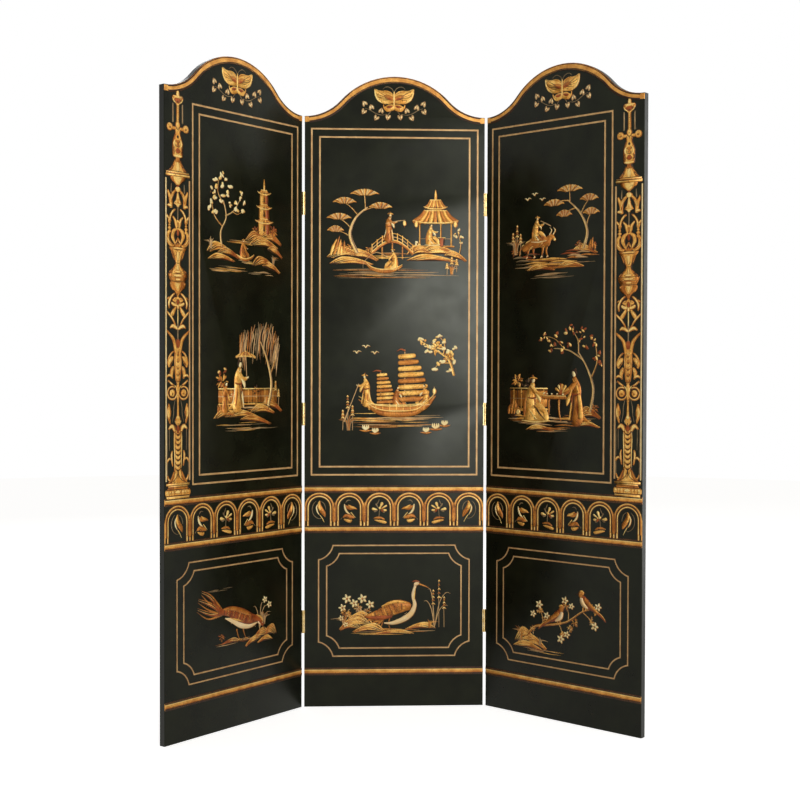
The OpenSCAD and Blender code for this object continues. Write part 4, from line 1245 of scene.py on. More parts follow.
def tower(art, x, z, half, storeys, storey):
    """A tiered tower with a window on each floor and a spire."""
    for k in range(storeys):
        w = half * (1 - 0.14 * k)
        foot = z + k * storey
        art.touch("amber", [(x, foot), (x, foot + storey * 0.72)], (w, w * 0.95), 0, False)
        art.touch("gold", [(x - w * 0.45, foot), (x - w * 0.45, foot + storey * 0.7)],
                  (w * 0.42, w * 0.4))
        art.touch("rust", [(x + w * 0.6, foot), (x + w * 0.58, foot + storey * 0.7)],
                  (w * 0.3, w * 0.28))
        art.touch("umber", [(x, foot + storey * 0.18), (x, foot + storey * 0.5)],
                  (w * 0.2, w * 0.26, w * 0.1), 2)
        roof(art, x, foot + storey * 0.7, w * 1.25, storey * 0.26)
    top = z + storeys * storey
    art.touch("gold", [(x, top - 2), (x, top + storey * 0.3), (x, top + storey * 0.75)],
              (2.6, 3.2, 0.4))
    art.touch("pale", [(x - 1, top), (x - 1, top + storey * 0.5)], (1.0, 0.5), 2)


def terrace(art, path, tall, gap):
    """A garden wall seen from the front: coping, footing and uprights."""
    art.touch("amber", [(x, z + tall / 2) for x, z in path], (tall * 0.45,), 0, False)
    for lift, paint in ((0, "gold"), (tall * 0.5, "tan"), (tall, "pale")):
        art.touch(paint, [(x, z + lift) for x, z in path], (1.7,), 2, False)
    (x0, z0), (x1, z1) = path[0], path[-1]
    count = max(2, round(abs(x1 - x0) / gap))
    for k in range(count + 1):
        x, z = mix(x0, x1, k / count), mix(z0, z1, k / count)
        art.touch("gold" if k % 2 else "umber", [(x, z), (x, z + tall)], (1.2,), 2, False)


def bushes(art, spots, reach, paints=("amber", "gold", "rust")):
    """Low bushes of one size at some spots."""
    for x, z in spots:
        leafage(art, x, z, reach, 11, paints, 2.2, 0.8)


def reeds(art, stems, paint="amber"):
    """Tall stems with tiered flowers, each stem (x, z, height)."""
    for x, z, tall in stems:
        art.touch("tan", [(x, z), (x + 1, z + tall * 0.7), (x, z + tall)], (0.9, 0.8, 0.6))
        for k in range(5):
            up = z + tall * (0.62 + 0.085 * k)
            wide = 5.5 - 0.8 * k
            art.touch(paint if k % 2 else "pale",
                      [(x - wide, up - 2), (x, up + 2), (x + wide, up - 2)], (0.5, 2.4, 0.5), 2)


def lantern(art, x, z, size):
    """A paper lantern that hangs from its hook, with a tassel."""
    art.dot("pale", x, z - size, size * 0.62, 2, 1.3)
    art.touch("amber", [(x - size * 0.5, z - size), (x + size * 0.5, z - size)], (0.8,), 3)
    art.touch("rust", [(x, z - size * 1.7), (x, z - size * 2.4)], (1.2, 0.4), 2)
    art.touch("tan", [(x, z), (x, z - size * 0.4)], (0.6,), 2)


def pine(art, trunk, pads, half=6.5):
    """A leaning pine: its trunk, and flat pads of needles, each (x, z, reach, place on the trunk)."""
    bough(art, trunk, half, "tan")
    for x, z, reach, t in pads:
        p, _ = along(trunk, t)
        bough(art, [(p.x, p.y), ((p.x + x) / 2, (p.y + z) / 2 + 4), (x, z)], 2.0)
        for k in range(17):
            u = (k - 8) / 8
            art.touch(("gold", "amber", "pale", "tan")[k % 4],
                      [(x + u * reach * 0.3, z - 3), (x + u * reach * 0.75, z + 4 + 8 * (1 - u * u)),
                       (x + u * reach, z + 1 + 15 * (1 - u * u))], (0.8, 2.7, 0.3), 1 + k % 2)


def boat(art, x, z, half, way):
    """A river boat with raised ends, its bow a way, and the water it stirs."""
    hull = [(x - way * half, z + half * 0.24), (x - way * half * 0.6, z + 3), (x, z - 2),
            (x + way * half * 0.65, z + 4), (x + way * half, z + half * 0.34)]
    deep = half * 0.1
    art.touch("amber", hull, (1.0, deep, deep * 1.3, deep, 1.0))
    art.touch("pale", [(px, pz + deep * 0.9) for px, pz in hull], (0.6, 1.5, 1.5, 1.5, 0.6), 3)
    for drop in (0.1, 0.6):
        art.touch("rust", [(px, pz - deep * drop) for px, pz in hull[1:4]], (0.4, 1.3, 0.4), 2)
    water(art, x - half * 1.3, x + half * 1.3, z - half * 0.24, 8, 4, ("gold", "tan"))


def sail(art, x, z, wide, tall):
    """A battened sail on its mast, with a pennant."""
    art.touch("tan", [(x, z - 6), (x, z + tall * 1.1)], (2.2, 1.3), 0)
    for k in range(8):
        low = z + tall * (0.08 + 0.125 * k)
        reach = wide * (1 - 0.045 * k - 0.006 * k * k)
        art.touch("gold" if k % 3 else "amber",
                  [(x - wide * 0.22, low), (x + reach * 0.4, low + tall * 0.01),
                   (x + reach, low + tall * 0.03)], (tall * 0.05, tall * 0.062, tall * 0.045))
        art.touch("umber", [(x - wide * 0.24, low - tall * 0.055),
                            (x + reach, low - tall * 0.025)], (0.9,), 3)
        art.touch("pale", [(x - wide * 0.2, low + tall * 0.02),
                           (x + reach * 0.8, low + tall * 0.04)], (0.3, 1.1), 2)
    art.touch("rust", [(x, z + tall * 1.08), (x - 12, z + tall * 1.11),
                       (x - 24, z + tall * 1.06)], (2.6, 2.0, 0.3), 2)


def bridge(art, x0, x1, z, rise):
    """A humped footbridge with a railing, on three pairs of legs."""
    span = [(mix(x0, x1, k / 8), z + rise * math.sin(math.pi * k / 8)) for k in range(9)]
    for x, deck in span[2:7:2]:
        art.touch("amber", [(x, deck), (x, z - 16)], (2.4, 2.0), 0)
    art.touch("amber", span, (4.2,))
    art.touch("rust", [(x, deck - 3) for x, deck in span], (1.0,), 2)
    for lift, paint in ((4, "pale"), (13, "tan"), (23, "gold")):
        art.touch(paint, [(x, deck + lift) for x, deck in span], (1.3,), 2)
    for x, deck in span:
        art.touch("gold", [(x, deck + 2), (x, deck + 26)], (1.4,), 2)


def parasol(art, x, z, wide, foot):
    """An open paper parasol, and its stick down to the hand that holds it."""
    art.touch("tan", [(x, z + wide * 0.4), foot], (1.2,), 3)
    for k in range(9):
        u = (k - 4) / 4
        art.touch(("gold", "amber")[k % 2],
                  [(x, z + wide * 0.42), (x + u * wide * 0.6, z + wide * (0.36 - 0.14 * u * u)),
                   (x + u * wide, z + 3 * (1 - u * u))], (0.6, wide * 0.07, wide * 0.1), 2)
    art.touch("pale", [(x - wide, z), (x, z + 3), (x + wide, z)], (0.8, 1.5, 0.8), 3)
    art.dot("pale", x, z + wide * 0.44, 2.4, 3)


def scene_bridge(art):
    """The centre leaf's upper scene: a footbridge between a pine and a lakeside pavilion."""
    water(art, -190, 205, 1262, 24, 15, ("dim", "tan", "amber"))
    water(art, -80, 70, 1312, 10, 9)
    crag(art, -170, 1316, 20, 64, 0.25)
    crag(art, -150, 1320, 15, 46, 0.1, "amber")
    pine(art, [(-110, 1322), (-130, 1372), (-114, 1420), (-80, 1452)],
         [(-162, 1420, 36, 0.45), (-146, 1466, 34, 0.75), (-88, 1490, 42, 0.95),
          (-42, 1452, 34, 0.9), (-172, 1384, 24, 0.3)])
    shore(art, (-148, 1310, 48, 26, 0.1), (-96, 1306, 46, 26, -0.1), (-128, 1288, 62, 20))
    bridge(art, -66, 52, 1320, 34)
    person(art, -16, 1356, 84, "amber", "cream", 1, (0.22, 0.64), hat=True)
    art.touch("tan", [(-26, 1406), (2, 1412), (30, 1416)], (1.0, 1.2, 0.8), 4)
    lantern(art, 28, 1416, 9)
    pavilion(art, 118, 1340, 54, 112)
    roof(art, 118, 1450, 30, 24)
    art.touch("gold", [(118, 1474), (118, 1488), (118, 1504)], (3.0, 3.4, 0.4))
    for x in (62, 176):
        lantern(art, x, 1414, 10)
    person(art, 104, 1344, 64, "gold", "cream", 1, (0.3, 0.6), seated=True)
    art.touch("rust", [(136, 1344), (136, 1362)], (7, 8), 2)
    art.touch("pale", [(126, 1366), (146, 1366)], (1.2,), 3)
    shore(art, (72, 1318, 36, 24, 0.1), (126, 1318, 58, 26), (176, 1306, 32, 22, -0.2),
          (106, 1298, 70, 18))
    bough(art, [(186, 1312), (192, 1346), (184, 1382)], 2.0)
    petals(art, [(184, 1386), (196, 1368), (176, 1372), (192, 1352), (64, 1348)], "cream", 5.5, 5, 3)
    bushes(art, [(-74, 1330), (60, 1330), (-130, 1336)], 15)
    boat(art, -30, 1270, 52, -1)
    person(art, -4, 1274, 60, "gold", "pale", -1, (0.3, 0.6), seated=True, hat=True)
    art.touch("tan", [(-20, 1308), (-54, 1322), (-88, 1296), (-92, 1276)], (1.2, 1.0, 0.6, 0.3), 3)
    reeds(art, ((166, 1262, 46), (180, 1266, 36), (152, 1258, 32)))
    blades(art, 166, 1260, 30, 9, 0.1, ("amber", "tan"))


def scene_junk(art):
    """The centre leaf's lower scene: a sailing junk between reeds and a flowering bough."""
    water(art, -150, 180, 836, 26, 22)
    sail(art, 30, 884, 70, 142)
    sail(art, -40, 880, 40, 90)
    boat(art, 8, 868, 112, 1)
    boat(art, 8, 856, 88, 1)
    for k in range(9):
        art.touch("gold", [(-74 + k * 20, 866), (-74 + k * 20, 882)], (1.4,), 3)
    art.touch("pale", [(-80, 883), (10, 879), (94, 885)], (1.3,), 3)
    person(art, -84, 880, 92, "gold", "pale", -1, (0.24, 0.6), hat=True)
    art.touch("tan", [(-104, 940), (-126, 884), (-146, 832)], (1.6, 1.5, 2.8), 4)
    person(art, 8, 876, 60, "amber", "cream", 1, (0.3, 0.6), seated=True)
    person(art, 88, 880, 62, "gold", "cream", -1, (0.3, 0.6), seated=True)
    lantern(art, 116, 930, 10)
    art.touch("tan", [(112, 896), (116, 932)], (1.2, 1.0), 2)
    bough(art, [(172, 968), (158, 1010), (120, 1040), (74, 1066)], 4.0, "gold")
    bough(art, [(142, 1026), (146, 1056), (132, 1078)], 2.4)
    bough(art, [(160, 1002), (132, 1000), (118, 988)], 2.2)
    leafage(art, 120, 1046, 22, 12, ("gold", "pale"), 3.8)
    leafage(art, 156, 1018, 20, 11, ("amber", "gold"), 3.6)
    petals(art, [(74, 1070), (92, 1052), (108, 1062), (128, 1082), (146, 1066), (118, 986),
                 (134, 1004), (152, 1036), (170, 1008), (158, 978), (98, 1036), (140, 1046),
                 (172, 1040)], "cream", 8.0, 7, 3)
    petals(art, [(84, 1062), (124, 1052), (160, 1022)], "gold", 6.5, 8, 3)
    reeds(art, ((-136, 812, 96), (-122, 806, 72), (-150, 806, 58)))
    blades(art, -134, 806, 52, 12, 0.0, ("tan", "amber", "dim"))
    for x, z, r in ((-84, 812, 10), (-56, 804, 9), (120, 816, 11), (146, 826, 9), (92, 806, 9)):
        art.touch("amber", [(x - r * 1.7, z - 6), (x, z - 8), (x + r * 1.7, z - 6)], (1, 3.4, 1))
        for u in (-0.8, -0.3, 0.3, 0.8):
            art.touch("cream", [(x, z - 5), (x + u * r, z + 2), (x + u * r * 0.9, z + r)],
                      (1.4, 3.2, 0.4), 2)
    for x, z in ((-110, 1030), (-84, 1046), (-58, 1028)):
        art.touch("cream", [(x - 11, z + 5), (x - 4, z + 6), (x, z), (x + 5, z + 7), (x + 13, z + 4)],
                  (0.3, 1.6, 1.8, 1.6, 0.3))


def scene_pagoda(art):
    """The left leaf's upper scene: a pagoda on a crag, and a plum tree across the water."""
    water(art, -40, 172, 1330, 9, 9)
    tower(art, 104, 1362, 24, 3, 40)
    leafage(art, 140, 1368, 22, 12, ("amber", "rust"), 3.4)
    leafage(art, 72, 1362, 18, 10, ("rust", "amber"), 3.0)
    shore(art, (70, 1338, 40, 24, 0.1, "amber"), (128, 1340, 44, 30, -0.1, "amber"),
          (100, 1324, 56, 26), (146, 1308, 30, 20, -0.3, "amber"))
    bough(art, [(-58, 1312), (-62, 1352), (-42, 1392), (-52, 1436)], 3.8, "tan")
    bough(art, [(-56, 1366), (-84, 1392), (-94, 1424)], 2.4)
    bough(art, [(-44, 1396), (-14, 1412), (10, 1444)], 2.4, "tan")
    bough(art, [(-50, 1426), (-72, 1456), (-70, 1490)], 1.9)
    bough(art, [(-20, 1410), (0, 1404), (18, 1412)], 1.5)
    petals(art, [(-100, 1430), (-88, 1440), (-104, 1412), (-84, 1406), (-74, 1470), (-66, 1492),
                 (-82, 1488), (-56, 1476), (-50, 1448), (-36, 1456), (-62, 1436), (-30, 1430),
                 (-10, 1434), (8, 1450), (18, 1464), (24, 1440), (22, 1416), (-2, 1418),
                 (-44, 1494), (-58, 1508), (-24, 1474), (-96, 1456)], "cream", 7.2, 6, 3)
    shore(art, (-72, 1300, 42, 22, 0.1), (-34, 1290, 40, 20, -0.1, "amber"), (-60, 1276, 48, 16))
    boat(art, 30, 1284, 34, 1)
    person(art, 22, 1286, 54, "amber", "gold", 1, (0.3, 0.5), seated=True, hat=True)
    blades(art, -98, 1304, 34, 8, -0.2, ("dim", "tan"))
    shore(art, (96, 1272, 40, 22, 0.1, "amber"), (132, 1262, 34, 20, -0.2))
    blades(art, 140, 1276, 30, 8, 0.3, ("dim", "amber"))
    water(art, -110, 60, 1252, 12, 8, ("gold", "tan", "dim"))
    water(art, 40, 170, 1248, 6, 4, ("tan", "dim"))


def scene_willow(art):
    """The left leaf's lower scene: a walker with a parasol under a willow."""
    bough(art, [(122, 882), (134, 940), (118, 1004), (90, 1058)], 6.5, "tan")
    bough(art, [(130, 968), (150, 1016), (146, 1064)], 2.8)
    crown = [(168, 1052), (140, 1096), (92, 1104), (44, 1088), (4, 1062)]
    for k in range(74):
        p, _ = along(crown, hand.random() * 0.99)
        drop = hand.uniform(44, 108)
        art.touch(("dim", "tan", "amber", "umber", "tan")[k % 5],
                  [(p.x - wander(8), p.y + wander(12)), (p.x - 6 + wander(5), p.y - drop * 0.5),
                   (p.x - 10 + wander(5), p.y - drop)], (0.5, 1.8, 0.3), 1 + k % 2)
    terrace(art, [(-72, 886), (156, 886)], 42, 16)
    ground(art, -80, 172, 884, 3, 8, ("gold", "amber", "tan"))
    leafage(art, -58, 946, 26, 13, ("rust", "amber", "gold"), 3.8)
    leafage(art, 74, 918, 22, 12, ("amber", "umber"), 3.4)
    person(art, 6, 872, 138, "gold", "cream", 1, (0.22, 0.62))
    parasol(art, 32, 1014.82, 36, (36, 958))
    person(art, -44, 866, 84, "amber", "gold", 1, (0.24, 0.55))
    petals(art, [(-66, 968), (-50, 976)], "rust", 7, 6, 3)
    shore(art, (134, 874, 40, 26, -0.2, "amber"), (-46, 852, 44, 18, 0.1), (96, 862, 48, 22),
          (18, 850, 62, 20), (70, 836, 60, 18, -0.1, "amber"))
    reeds(art, ((150, 884, 64), (162, 878, 46)), "gold")
    crag(art, -62, 862, 14, 34, -0.2, "amber")
    blades(art, 112, 884, 32, 9, 0.2, ("amber", "tan"))
    water(art, -80, 175, 824, 14, 12, ("dim", "tan", "gold"))


def ox(art, x, z):
    """A resting ox, its head to the right, in short touches of hair."""
    back = [(x - 42, z), (x - 14, z + 14), (x + 16, z + 20), (x + 40, z + 14)]
    for u, foot in ((-26, -30), (-8, -4), (24, 20), (36, 40)):
        art.touch("amber", [(x + u, z + 4), (x + u - 2, z - 10), (x + foot, z - 24)], (5, 3.6, 2.8), 0)
        art.touch("cream", [(x + foot, z - 23), (x + foot - 4, z - 26)], (2.0, 1.4), 2)
    art.touch("amber", back, (9, 17, 19, 13))
    art.touch("amber", [(x + 38, z + 20), (x + 52, z + 30), (x + 60, z + 24)], (11, 9, 6))
    for k in range(46):
        p, d = along(back, hand.uniform(0.04, 0.98))
        u = wander(14)
        art.touch(("gold", "rust", "umber", "pale", "rust")[k % 5],
                  [(p.x - d.y * u, p.y + d.x * u), (p.x - d.y * u - 6, p.y + d.x * u - 1),
                   (p.x - d.y * u - 11, p.y + d.x * u - 6)], (0.2, 1.3, 0.2), 2 + k % 2)
    for u in (46, 58):
        art.touch("cream", [(x + u, z + 36), (x + u + 7, z + 48), (x + u, z + 56)], (1.8, 1.5, 0.3), 3)
    art.dot("umber", x + 54, z + 29, 1.4, 4)
    art.dab("pale", x + 62, z + 22, 4, 4.6, 0.3)
    art.touch("amber", [(x - 48, z + 4), (x - 58, z - 8), (x - 56, z - 18)], (2.2, 1.2, 1.6))


def scene_ox(art):
    """The right leaf's upper scene: a child rides an ox home past a leaning pine."""
    pine(art, [(72, 1316), (84, 1362), (62, 1412), (22, 1450)],
         [(96, 1410, 27, 0.4), (90, 1448, 30, 0.65), (26, 1478, 42, 0.95),
          (-26, 1442, 34, 1.0), (8, 1410, 26, 0.8)], 5.5)
    crag(art, 100, 1312, 14, 36, 0.1, "amber")
    bushes(art, [(56, 1326), (106, 1322), (-160, 1316)], 17, ("umber", "rust", "amber"))
    ox(art, -86, 1324)
    person(art, -84, 1342, 74, "gold", "cream", 1, (0.3, 0.66), seated=True, hat=True)
    art.touch("tan", [(-70, 1400), (-52, 1392), (-36, 1384)], (1.3, 1.5, 1.2), 4)
    reeds(art, ((-152, 1310, 84), (-166, 1310, 62), (-140, 1310, 58)))
    blades(art, -156, 1310, 50, 12, 0.0, ("tan", "dim", "amber"))
    for x, z in ((-116, 1462), (-92, 1474), (-66, 1458)):
        art.touch("cream", [(x - 10, z + 5), (x - 4, z + 5), (x, z), (x + 5, z + 6), (x + 12, z + 4)],
                  (0.3, 1.5, 1.7, 1.5, 0.3))
    ground(art, -178, -60, 1308, 3, 8, ("rust", "amber", "dim"))
    ground(art, -20, 132, 1312, 4, 7, ("tan", "rust", "amber"))
    ground(art, -150, 100, 1292, 4, 8, ("gold", "amber", "gold"))
    shore(art, (76, 1306, 40, 20, -0.1), (30, 1268, 42, 14), (-70, 1262, 46, 14))
    water(art, -178, 130, 1276, 16, 14, ("tan", "amber", "dim"))
    water(art, -110, 90, 1246, 9, 7, ("tan", "dim"))
    blades(art, 60, 1312, 24, 7, 0.3)


def scene_game(art):
    """The right leaf's lower scene: two friends at a garden table below a rosy tree."""
    bough(art, [(96, 868), (106, 930), (86, 988), (58, 1030)], 5.0, "tan")
    bough(art, [(98, 958), (118, 1002), (114, 1046)], 2.6)
    bough(art, [(72, 1010), (26, 1036), (-24, 1042)], 2.6, "tan")
    bough(art, [(58, 1026), (56, 1064), (36, 1092)], 2.0)
    bough(art, [(12, 1040), (-20, 1068), (-54, 1076)], 1.6)
    petals(art, [(112, 1052), (126, 1030), (98, 1068), (82, 1048), (62, 1062), (50, 1086),
                 (36, 1098), (18, 1088), (72, 1090), (28, 1052), (0, 1060), (-22, 1050),
                 (-36, 1036), (-40, 1066), (-58, 1080), (-68, 1066), (4, 1030), (112, 1010),
                 (128, 998), (-12, 1082)], "rust", 6.5, 6, 3, "pale")
    petals(art, [(108, 1060), (40, 1090), (-30, 1056), (-56, 1072), (10, 1048), (68, 1076),
                 (120, 1014)], "pale", 5.0, 8, 2)
    terrace(art, [(-174, 872), (-44, 872)], 58, 13)
    ground(art, -178, -20, 868, 4, 8, ("amber", "gold", "tan"))
    leafage(art, -148, 950, 26, 13, ("umber", "amber", "gold"), 3.6)
    leafage(art, -110, 944, 20, 11, ("umber", "dim"), 3.2)
    crag(art, -160, 858, 24, 52, 0.1, "amber")
    art.dot("pale", -146, 862, 8, 2, 0.9)
    person(art, -98, 836, 132, "gold", "pale", 1, (0.3, 0.6), seated=True, hat=True)
    for x, foot in ((-40, -46), (-6, 0)):
        art.touch("amber", [(x, 900), (x, 868), (foot, 840)], (3.6, 3.0, 2.2))
        art.touch("gold", [(x - 1, 896), (x - 1, 870)], (1.2, 1.0), 2)
    art.touch("amber", [(-62, 904), (-22, 906), (18, 904)], (4, 6.5, 4), 2)
    art.touch("pale", [(-60, 909), (16, 909)], (1.4,), 3)
    for x in (-46, -30, -12):
        art.dot("cream", x, 915, 3.4, 3, 0.6)
    art.turned("rust", [(912, 5), (922, 9), (932, 7), (940, 3), (944, 5)], 3)
    person(art, 48, 838, 150, "amber", "gold", -1, (0.26, 0.5))
    art.touch("gold", [(52, 938), (62, 896), (66, 852)], (4, 7, 8), 2)
    for k in range(5):
        a = math.radians(-56 + 28 * k)
        art.touch("pale" if k % 2 else "gold", [(4, 916), (4 + 24 * math.sin(a), 916 + 24 * math.cos(a))],
                  (0.6, 4.2), 4)
    mound(art, 92, 852, 38, 28, 0, "amber")
    bushes(art, [(112, 876), (78, 874)], 16, ("umber", "rust", "amber"))
    ground(art, -130, 120, 846, 4, 9, ("gold", "amber", "tan"))
    shore(art, (-70, 812, 46, 14), (84, 826, 42, 16))
    water(art, -182, -70, 836, 10, 10, ("amber", "tan", "dim"))
    water(art, 0, 132, 846, 12, 18, ("amber", "tan", "dim"))
    water(art, -110, 60, 812, 10, 9, ("amber", "tan", "dim"))


SCENES = (("centre", "bridge_scene", scene_bridge), ("centre", "junk_scene", scene_junk),
          ("left", "pagoda_scene", scene_pagoda), ("left", "willow_scene", scene_willow),
          ("right", "ox_scene", scene_ox), ("right", "garden_scene", scene_game))
for leaf, name, draw in SCENES:
    picture = Painting(leaf)
    draw(picture)
    picture.piece(f"{leaf}_{name}")

# ------------------------ the birds of the low panels
# Birds, rocks, reeds and flowers fill each low panel. The feathers are drawn
# over the raised bodies in darker and paler touches.


def plumage(art, path, half, rows, paint, across):
    """Rows of feather tips over a body, from its tail to its neck."""
    for k in range(rows):
        p, d = along(path, (k + 0.5) / rows)
        side = Vector((-d.y, d.x))
        wide = half * math.sin(math.pi * (k + 0.9) / (rows + 0.8))
        if wide < half * 0.4:
            continue
        u = side * wide / across * 0.75
        for j in range(across):
            s = ((j + (0.8 if k % 2 else 0.3)) / across * 2 - 1) * 0.8
            q = p + side * wide * s
            tip = q - d * half * 0.24
            art.touch(paint, [q + u, tip + u * 0.6, tip - u * 0.6, q - u], (0.2, 0.85, 0.85, 0.2), 4)


def flower(art, x, z, r, paint="cream"):
    """An open flower of five petals."""
    for k in range(5):
        a = 2 * math.pi * k / 5 + 0.3
        art.touch(paint, [(x, z), (x + r * 0.6 * math.sin(a), z + r * 0.6 * math.cos(a)),
                          (x + r * math.sin(a), z + r * math.cos(a))], (0.6, r * 0.34, r * 0.16), 2)
    art.dot("amber", x, z, r * 0.26, 3)


def arc_of_grass(art, x, z, tips):
    """Long blades that bend over under their own weight."""
    for tip_x, tip_z in tips:
        art.touch("tan", [(x, z), (mix(x, tip_x, 0.3), mix(z, tip_z, 0.72)),
                          (mix(x, tip_x, 0.7), tip_z + abs(tip_x - x) * 0.06), (tip_x, tip_z)],
                  (1.3, 1.3, 1.04, 0.2))


def low_pheasant(art):
    """The left leaf's low panel: a pheasant that feeds, its tail in the air."""
    water(art, 20, 165, 394, 6, 4, ("dim",))
    arc_of_grass(art, -98, 250, [(-150, 296), (-134, 318), (-112, 330), (-70, 322)])
    blades(art, -118, 262, 40, 9, 0.0, ("dim", "tan"), 2.0)
    leafage(art, -112, 286, 22, 12, ("dim", "tan", "amber"), 3.0)
    back = [(74, 326), (30, 322), (-14, 306), (-52, 290), (-84, 284)]
    for dx, dz, w in ((0, 0, 5.5), (10, -10, 4.5), (-4, 8, 4.0)):
        for tip in ((164, 374), (150, 396), (168, 346)):
            art.touch("amber" if dx else "rust",
                      [(62 + dx * 0.4, 322 + dz * 0.4), (112 + dx, tip[1] - 24 + dz),
                       (tip[0] + dx * 0.2, tip[1] + dz * 0.6)], (w, w * 0.55, 0.3), 1 if dx else 2)
    for tip in ((164, 374), (150, 396), (168, 346)):
        art.touch("pale", [(70, 325), (112, tip[1] - 21), tip], (0.4, 0.9, 0.2), 3)
    for k in range(9):
        p, d = along([(72, 322), (112, 346), (160, 372)], 0.1 + 0.1 * k)
        art.touch("umber", [(p.x - 5, p.y + 5), (p.x, p.y), (p.x - 1, p.y - 7)], (0.2, 0.9, 0.2), 4)
    art.touch("buff", [(52, 304), (24, 294), (-18, 274), (-58, 267), (-86, 274)], (1.5, 8, 12, 9, 4))
    for k in range(9):
        x, z = 30 - k * 13, 288 - k * 3
        art.touch("tan", [(x, z), (x - 5, z - 4), (x - 8, z - 3)], (0.3, 1.0, 0.3), 2)
    art.touch("rust", back, (8, 19, 25, 21, 11), 2)
    art.touch("amber", [(58, 332), (20, 330), (-22, 316), (-58, 300)], (3, 7, 8, 3), 3)
    art.touch("gold", [(30, 304), (0, 292), (-34, 282)], (1.2, 3.4, 1.2), 3)
    plumage(art, back, 22, 12, "umber", 5)
    plumage(art, back, 19, 7, "gold", 3)
    art.touch("rust", [(-72, 288), (-98, 280), (-112, 262)], (13, 10, 7.5), 2)
    art.touch("gold", [(-84, 296), (-104, 286), (-114, 268)], (1.5, 3.4, 1.2), 3)
    art.touch("buff", [(-92, 272), (-102, 264)], (3.2, 1.6), 3)
    art.touch("umber", [(-115, 257), (-124, 246)], (3.0, 0.5), 3)
    art.dot("cream", -110, 268, 1.7, 4)
    for x, foot in ((-26, -38), (2, -10)):
        art.touch("amber", [(x, 262), (x - 5, 244), (foot, 230)], (3.4, 1.8, 1.5), 0)
        art.touch("gold", [(foot - 11, 227), (foot, 231), (foot + 9, 227)], (0.4, 1.6, 0.4), 2)
    water(art, -120, 110, 226, 9, 5, ("amber", "rust", "tan"))
    shore(art, (-146, 226, 30, 30, 0.1, "amber"), (-104, 222, 36, 30, -0.1, "amber"),
          (-70, 212, 34, 20, -0.2), (-124, 208, 34, 16), (26, 226, 40, 12, 0.0, "rust"))
    leafage(art, 66, 246, 18, 10, ("rust", "umber", "amber"), 2.6, 0.8)
    for x, z in ((-142, 322), (-122, 340)):
        flower(art, x, z, 10)


def low_crane(art):
    """The centre leaf's low panel: a crane that looks out from flowers to reeds."""
    water(art, -150, 165, 214, 14, 11)
    arc_of_grass(art, -126, 226, [(-176, 330), (-168, 292), (-106, 344), (-92, 306)])
    reeds(art, ((-140, 226, 150), (-122, 226, 118), (-156, 226, 96)))
    body = [(70, 262), (34, 272), (-8, 290), (-44, 292)]
    art.touch("buff", [(30, 240), (4, 240), (-26, 250), (-52, 268), (-64, 296), (-58, 326),
                       (-66, 356)], (1.5, 6, 9, 9, 6.5, 4.6, 4.4))
    art.touch("pale", [(-62, 290), (-62, 318), (-66, 350)], (0.8, 2.2, 0.8), 2)
    art.touch("amber", [(92, 262), (66, 266)] + body[1:], (0.8, 9, 19, 25, 15), 2)
    art.touch("rust", [(92, 258), (48, 256), (8, 260)], (1.0, 8, 4), 3)
    art.touch("gold", [(38, 292), (2, 306), (-38, 304)], (1.5, 5.5, 2), 3)
    for tip in ((78, 232), (66, 226), (90, 240)):
        art.touch("amber", [(34, 252), (tip[0] - 16, tip[1] + 10), tip], (4, 3.6, 0.8))
    plumage(art, body, 22, 10, "umber", 5)
    plumage(art, body, 20, 6, "gold", 3)
    art.touch("pale", [(-62, 276), (-40, 258), (-6, 250)], (0.6, 2.0, 0.6), 2)
    art.dab("buff", -70, 362, 9, 6.4, 1.9)
    art.touch("rust", [(-58, 368), (-68, 371), (-79, 367)], (1.2, 3.2, 1.4), 3)
    art.touch("amber", [(-76, 361), (-94, 355), (-110, 347)], (3.6, 2.0, 0.4))
    art.dot("umber", -74, 363, 1.6, 3)
    for k in range(8):
        x, z = 8 - k * 8, 243 + k * k * 1.0
        art.touch("tan", [(x, z), (x - 5, z + 1), (x - 7, z + 5)], (0.3, 1.0, 0.3), 2)
    for knee, foot in (((16, 236), (8, 214)), ((36, 238), (46, 218))):
        art.touch("amber", [(knee[0] - 4, 256), knee, foot], (3.4, 2.0, 1.6), 0)
        art.touch("gold", [(foot[0] - 10, foot[1] - 3), foot, (foot[0] + 9, foot[1] - 3)],
                  (0.4, 1.3, 0.4), 2)
    shore(art, (-84, 222, 46, 18), (112, 232, 48, 44), (134, 222, 34, 34), (0, 206, 60, 12),
          (78, 214, 48, 24))
    for x, z in ((84, 272), (112, 286), (140, 262), (98, 262), (150, 274)):
        leafage(art, x, z, 17, 9)
    for x, z, r in ((74, 298, 12), (98, 316, 13), (124, 302, 12), (146, 316, 13), (108, 284, 10),
                    (160, 288, 11), (150, 236, 8), (164, 256, 8)):
        flower(art, x, z, r, "cream" if x != 108 else "tan")
    blades(art, 152, 230, 40, 9, 0.4)
    blades(art, -110, 224, 30, 9, -0.3, ("gold", "amber"))


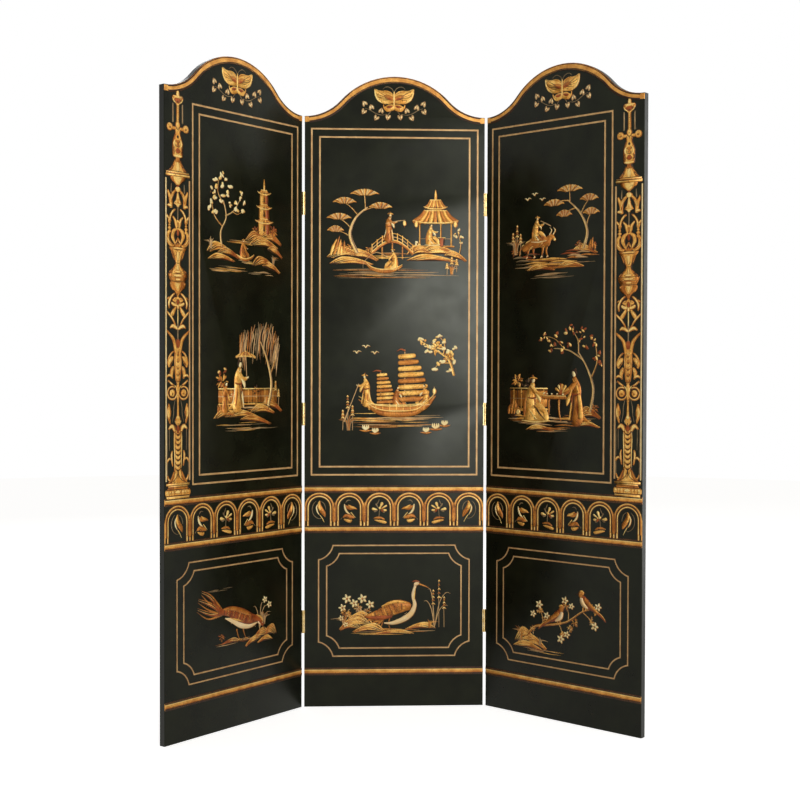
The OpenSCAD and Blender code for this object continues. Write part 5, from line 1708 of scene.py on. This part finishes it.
def finch(art, x, z, way):
    """A small bird that faces a way, with its feet at a twig."""
    def at(*points):
        return [(x + way * u, z + v) for u, v in points]

    art.touch("rust", at((-34, -4), (-16, 6), (0, 18), (10, 32)), (3, 9, 15, 9), 2)
    art.touch("buff", at((-6, 2), (10, 13), (16, 28)), (3, 8, 6), 3)
    art.touch("amber", at((-46, -12), (-20, 8), (2, 24)), (1.5, 6, 7), 3)
    art.touch("rust", at((-28, -1), (-54, -16), (-68, -30)), (5, 4.5, 1.4), 2)
    art.touch("gold", at((-30, 2), (-54, -12), (-66, -25)), (0.6, 1.4, 0.6), 3)
    for k in range(5):
        art.touch("umber", at((-30 + k * 7, -2 + k * 5), (-34 + k * 8, 9 + k * 5)), (0.3, 1.0), 4)
        art.touch("gold", at((-26 + k * 7, 2 + k * 5), (-30 + k * 8, 11 + k * 5)), (0.3, 0.9), 4)
    art.dot("amber", *at((16, 40))[0], 10.5, 3)
    art.touch("gold", at((6, 46), (14, 51), (22, 49)), (1.0, 2.6, 1.0), 4)
    art.touch("umber", at((24, 41), (37, 37)), (3.2, 0.4), 3)
    art.dot("cream", *at((20, 43))[0], 1.9, 4)
    for u in (0, 9):
        art.touch("gold", at((u, 4), (u + 2, -6)), (1.6, 1.2), 3)


def low_finches(art):
    """The right leaf's low panel: two finches on a branch of blossom."""
    shore(art, (-112, 222, 40, 42, 0.1), (-80, 214, 44, 30, -0.1), (-104, 204, 52, 18))
    branch = [(-108, 240), (-76, 272), (-20, 284), (38, 300), (92, 336), (138, 350)]
    bough(art, branch, 4.6, "amber")
    for t, tip in ((0.3, (-60, 330)), (0.5, (20, 250)), (0.62, (34, 352)), (0.8, (128, 304)),
                   (0.86, (98, 384))):
        p, _ = along(branch, t)
        bough(art, [(p.x, p.y), ((p.x + tip[0]) / 2 + 5, (p.y + tip[1]) / 2), tip], 1.8)
    finch(art, 4, 296, 1)
    finch(art, 104, 346, -1)
    for x, z in ((-60, 322), (-40, 296), (22, 258), (50, 282), (124, 312), (34, 344), (-86, 262),
                 (140, 344), (66, 300)):
        leafage(art, x, z, 15, 8)
    for x, z, r in ((-62, 340, 12), (-84, 310, 10), (16, 246, 12), (38, 262, 10), (134, 298, 12),
                    (30, 362, 11), (146, 356, 11), (54, 348, 9), (-34, 310, 10)):
        flower(art, x, z, r)
    blades(art, -128, 224, 50, 10, -0.1)
    blades(art, -60, 216, 30, 8, 0.4, ("dim", "tan"))
    water(art, -150, 60, 202, 10, 6)


# The pheasant is drawn a little smaller, and it and the crane face the right.
LOW_PANELS = (("left", "pheasant_panel", low_pheasant, (0, 36, 0.88, -1)),
              ("centre", "crane_panel", low_crane, (0, 18, 0.94, -1)),
              ("right", "finch_panel", low_finches, (-12, 0, 0.94, 1)))
for leaf, name, draw, place in LOW_PANELS:
    picture = Painting(leaf, *place)
    draw(picture)
    picture.piece(f"{leaf}_{name}")

# ------------------------ the brass hinges
# Double-action screen hinges: two plates let into the edges, a link with two
# barrels between them, turned pins and countersunk screws, all polished brass,
# a bright warm metal with small patches dulled by handling.
polished_brass = new_finish(
    "polished brass",
    lambda tree: cloudy(tree, "#c9a869", "#e2c68b", 14, 3.0),
    lambda tree: shine(tree, 0.2, 0.32, 6),
    lambda tree: ripples(tree, 0.02, 3.0, 0.5),
    Metallic=1.0)
for side in ("left", "right"):
    for height in ("bottom", "middle", "top"):
        for piece in ("centre_plate", "link", "leaf_plate"):
            dress(f"{side}_{height}_{piece}", polished_brass)
    for piece in ("front_pins", "back_pins", "centre_screws", "leaf_screws"):
        dress(f"{side}_{piece}", polished_brass)
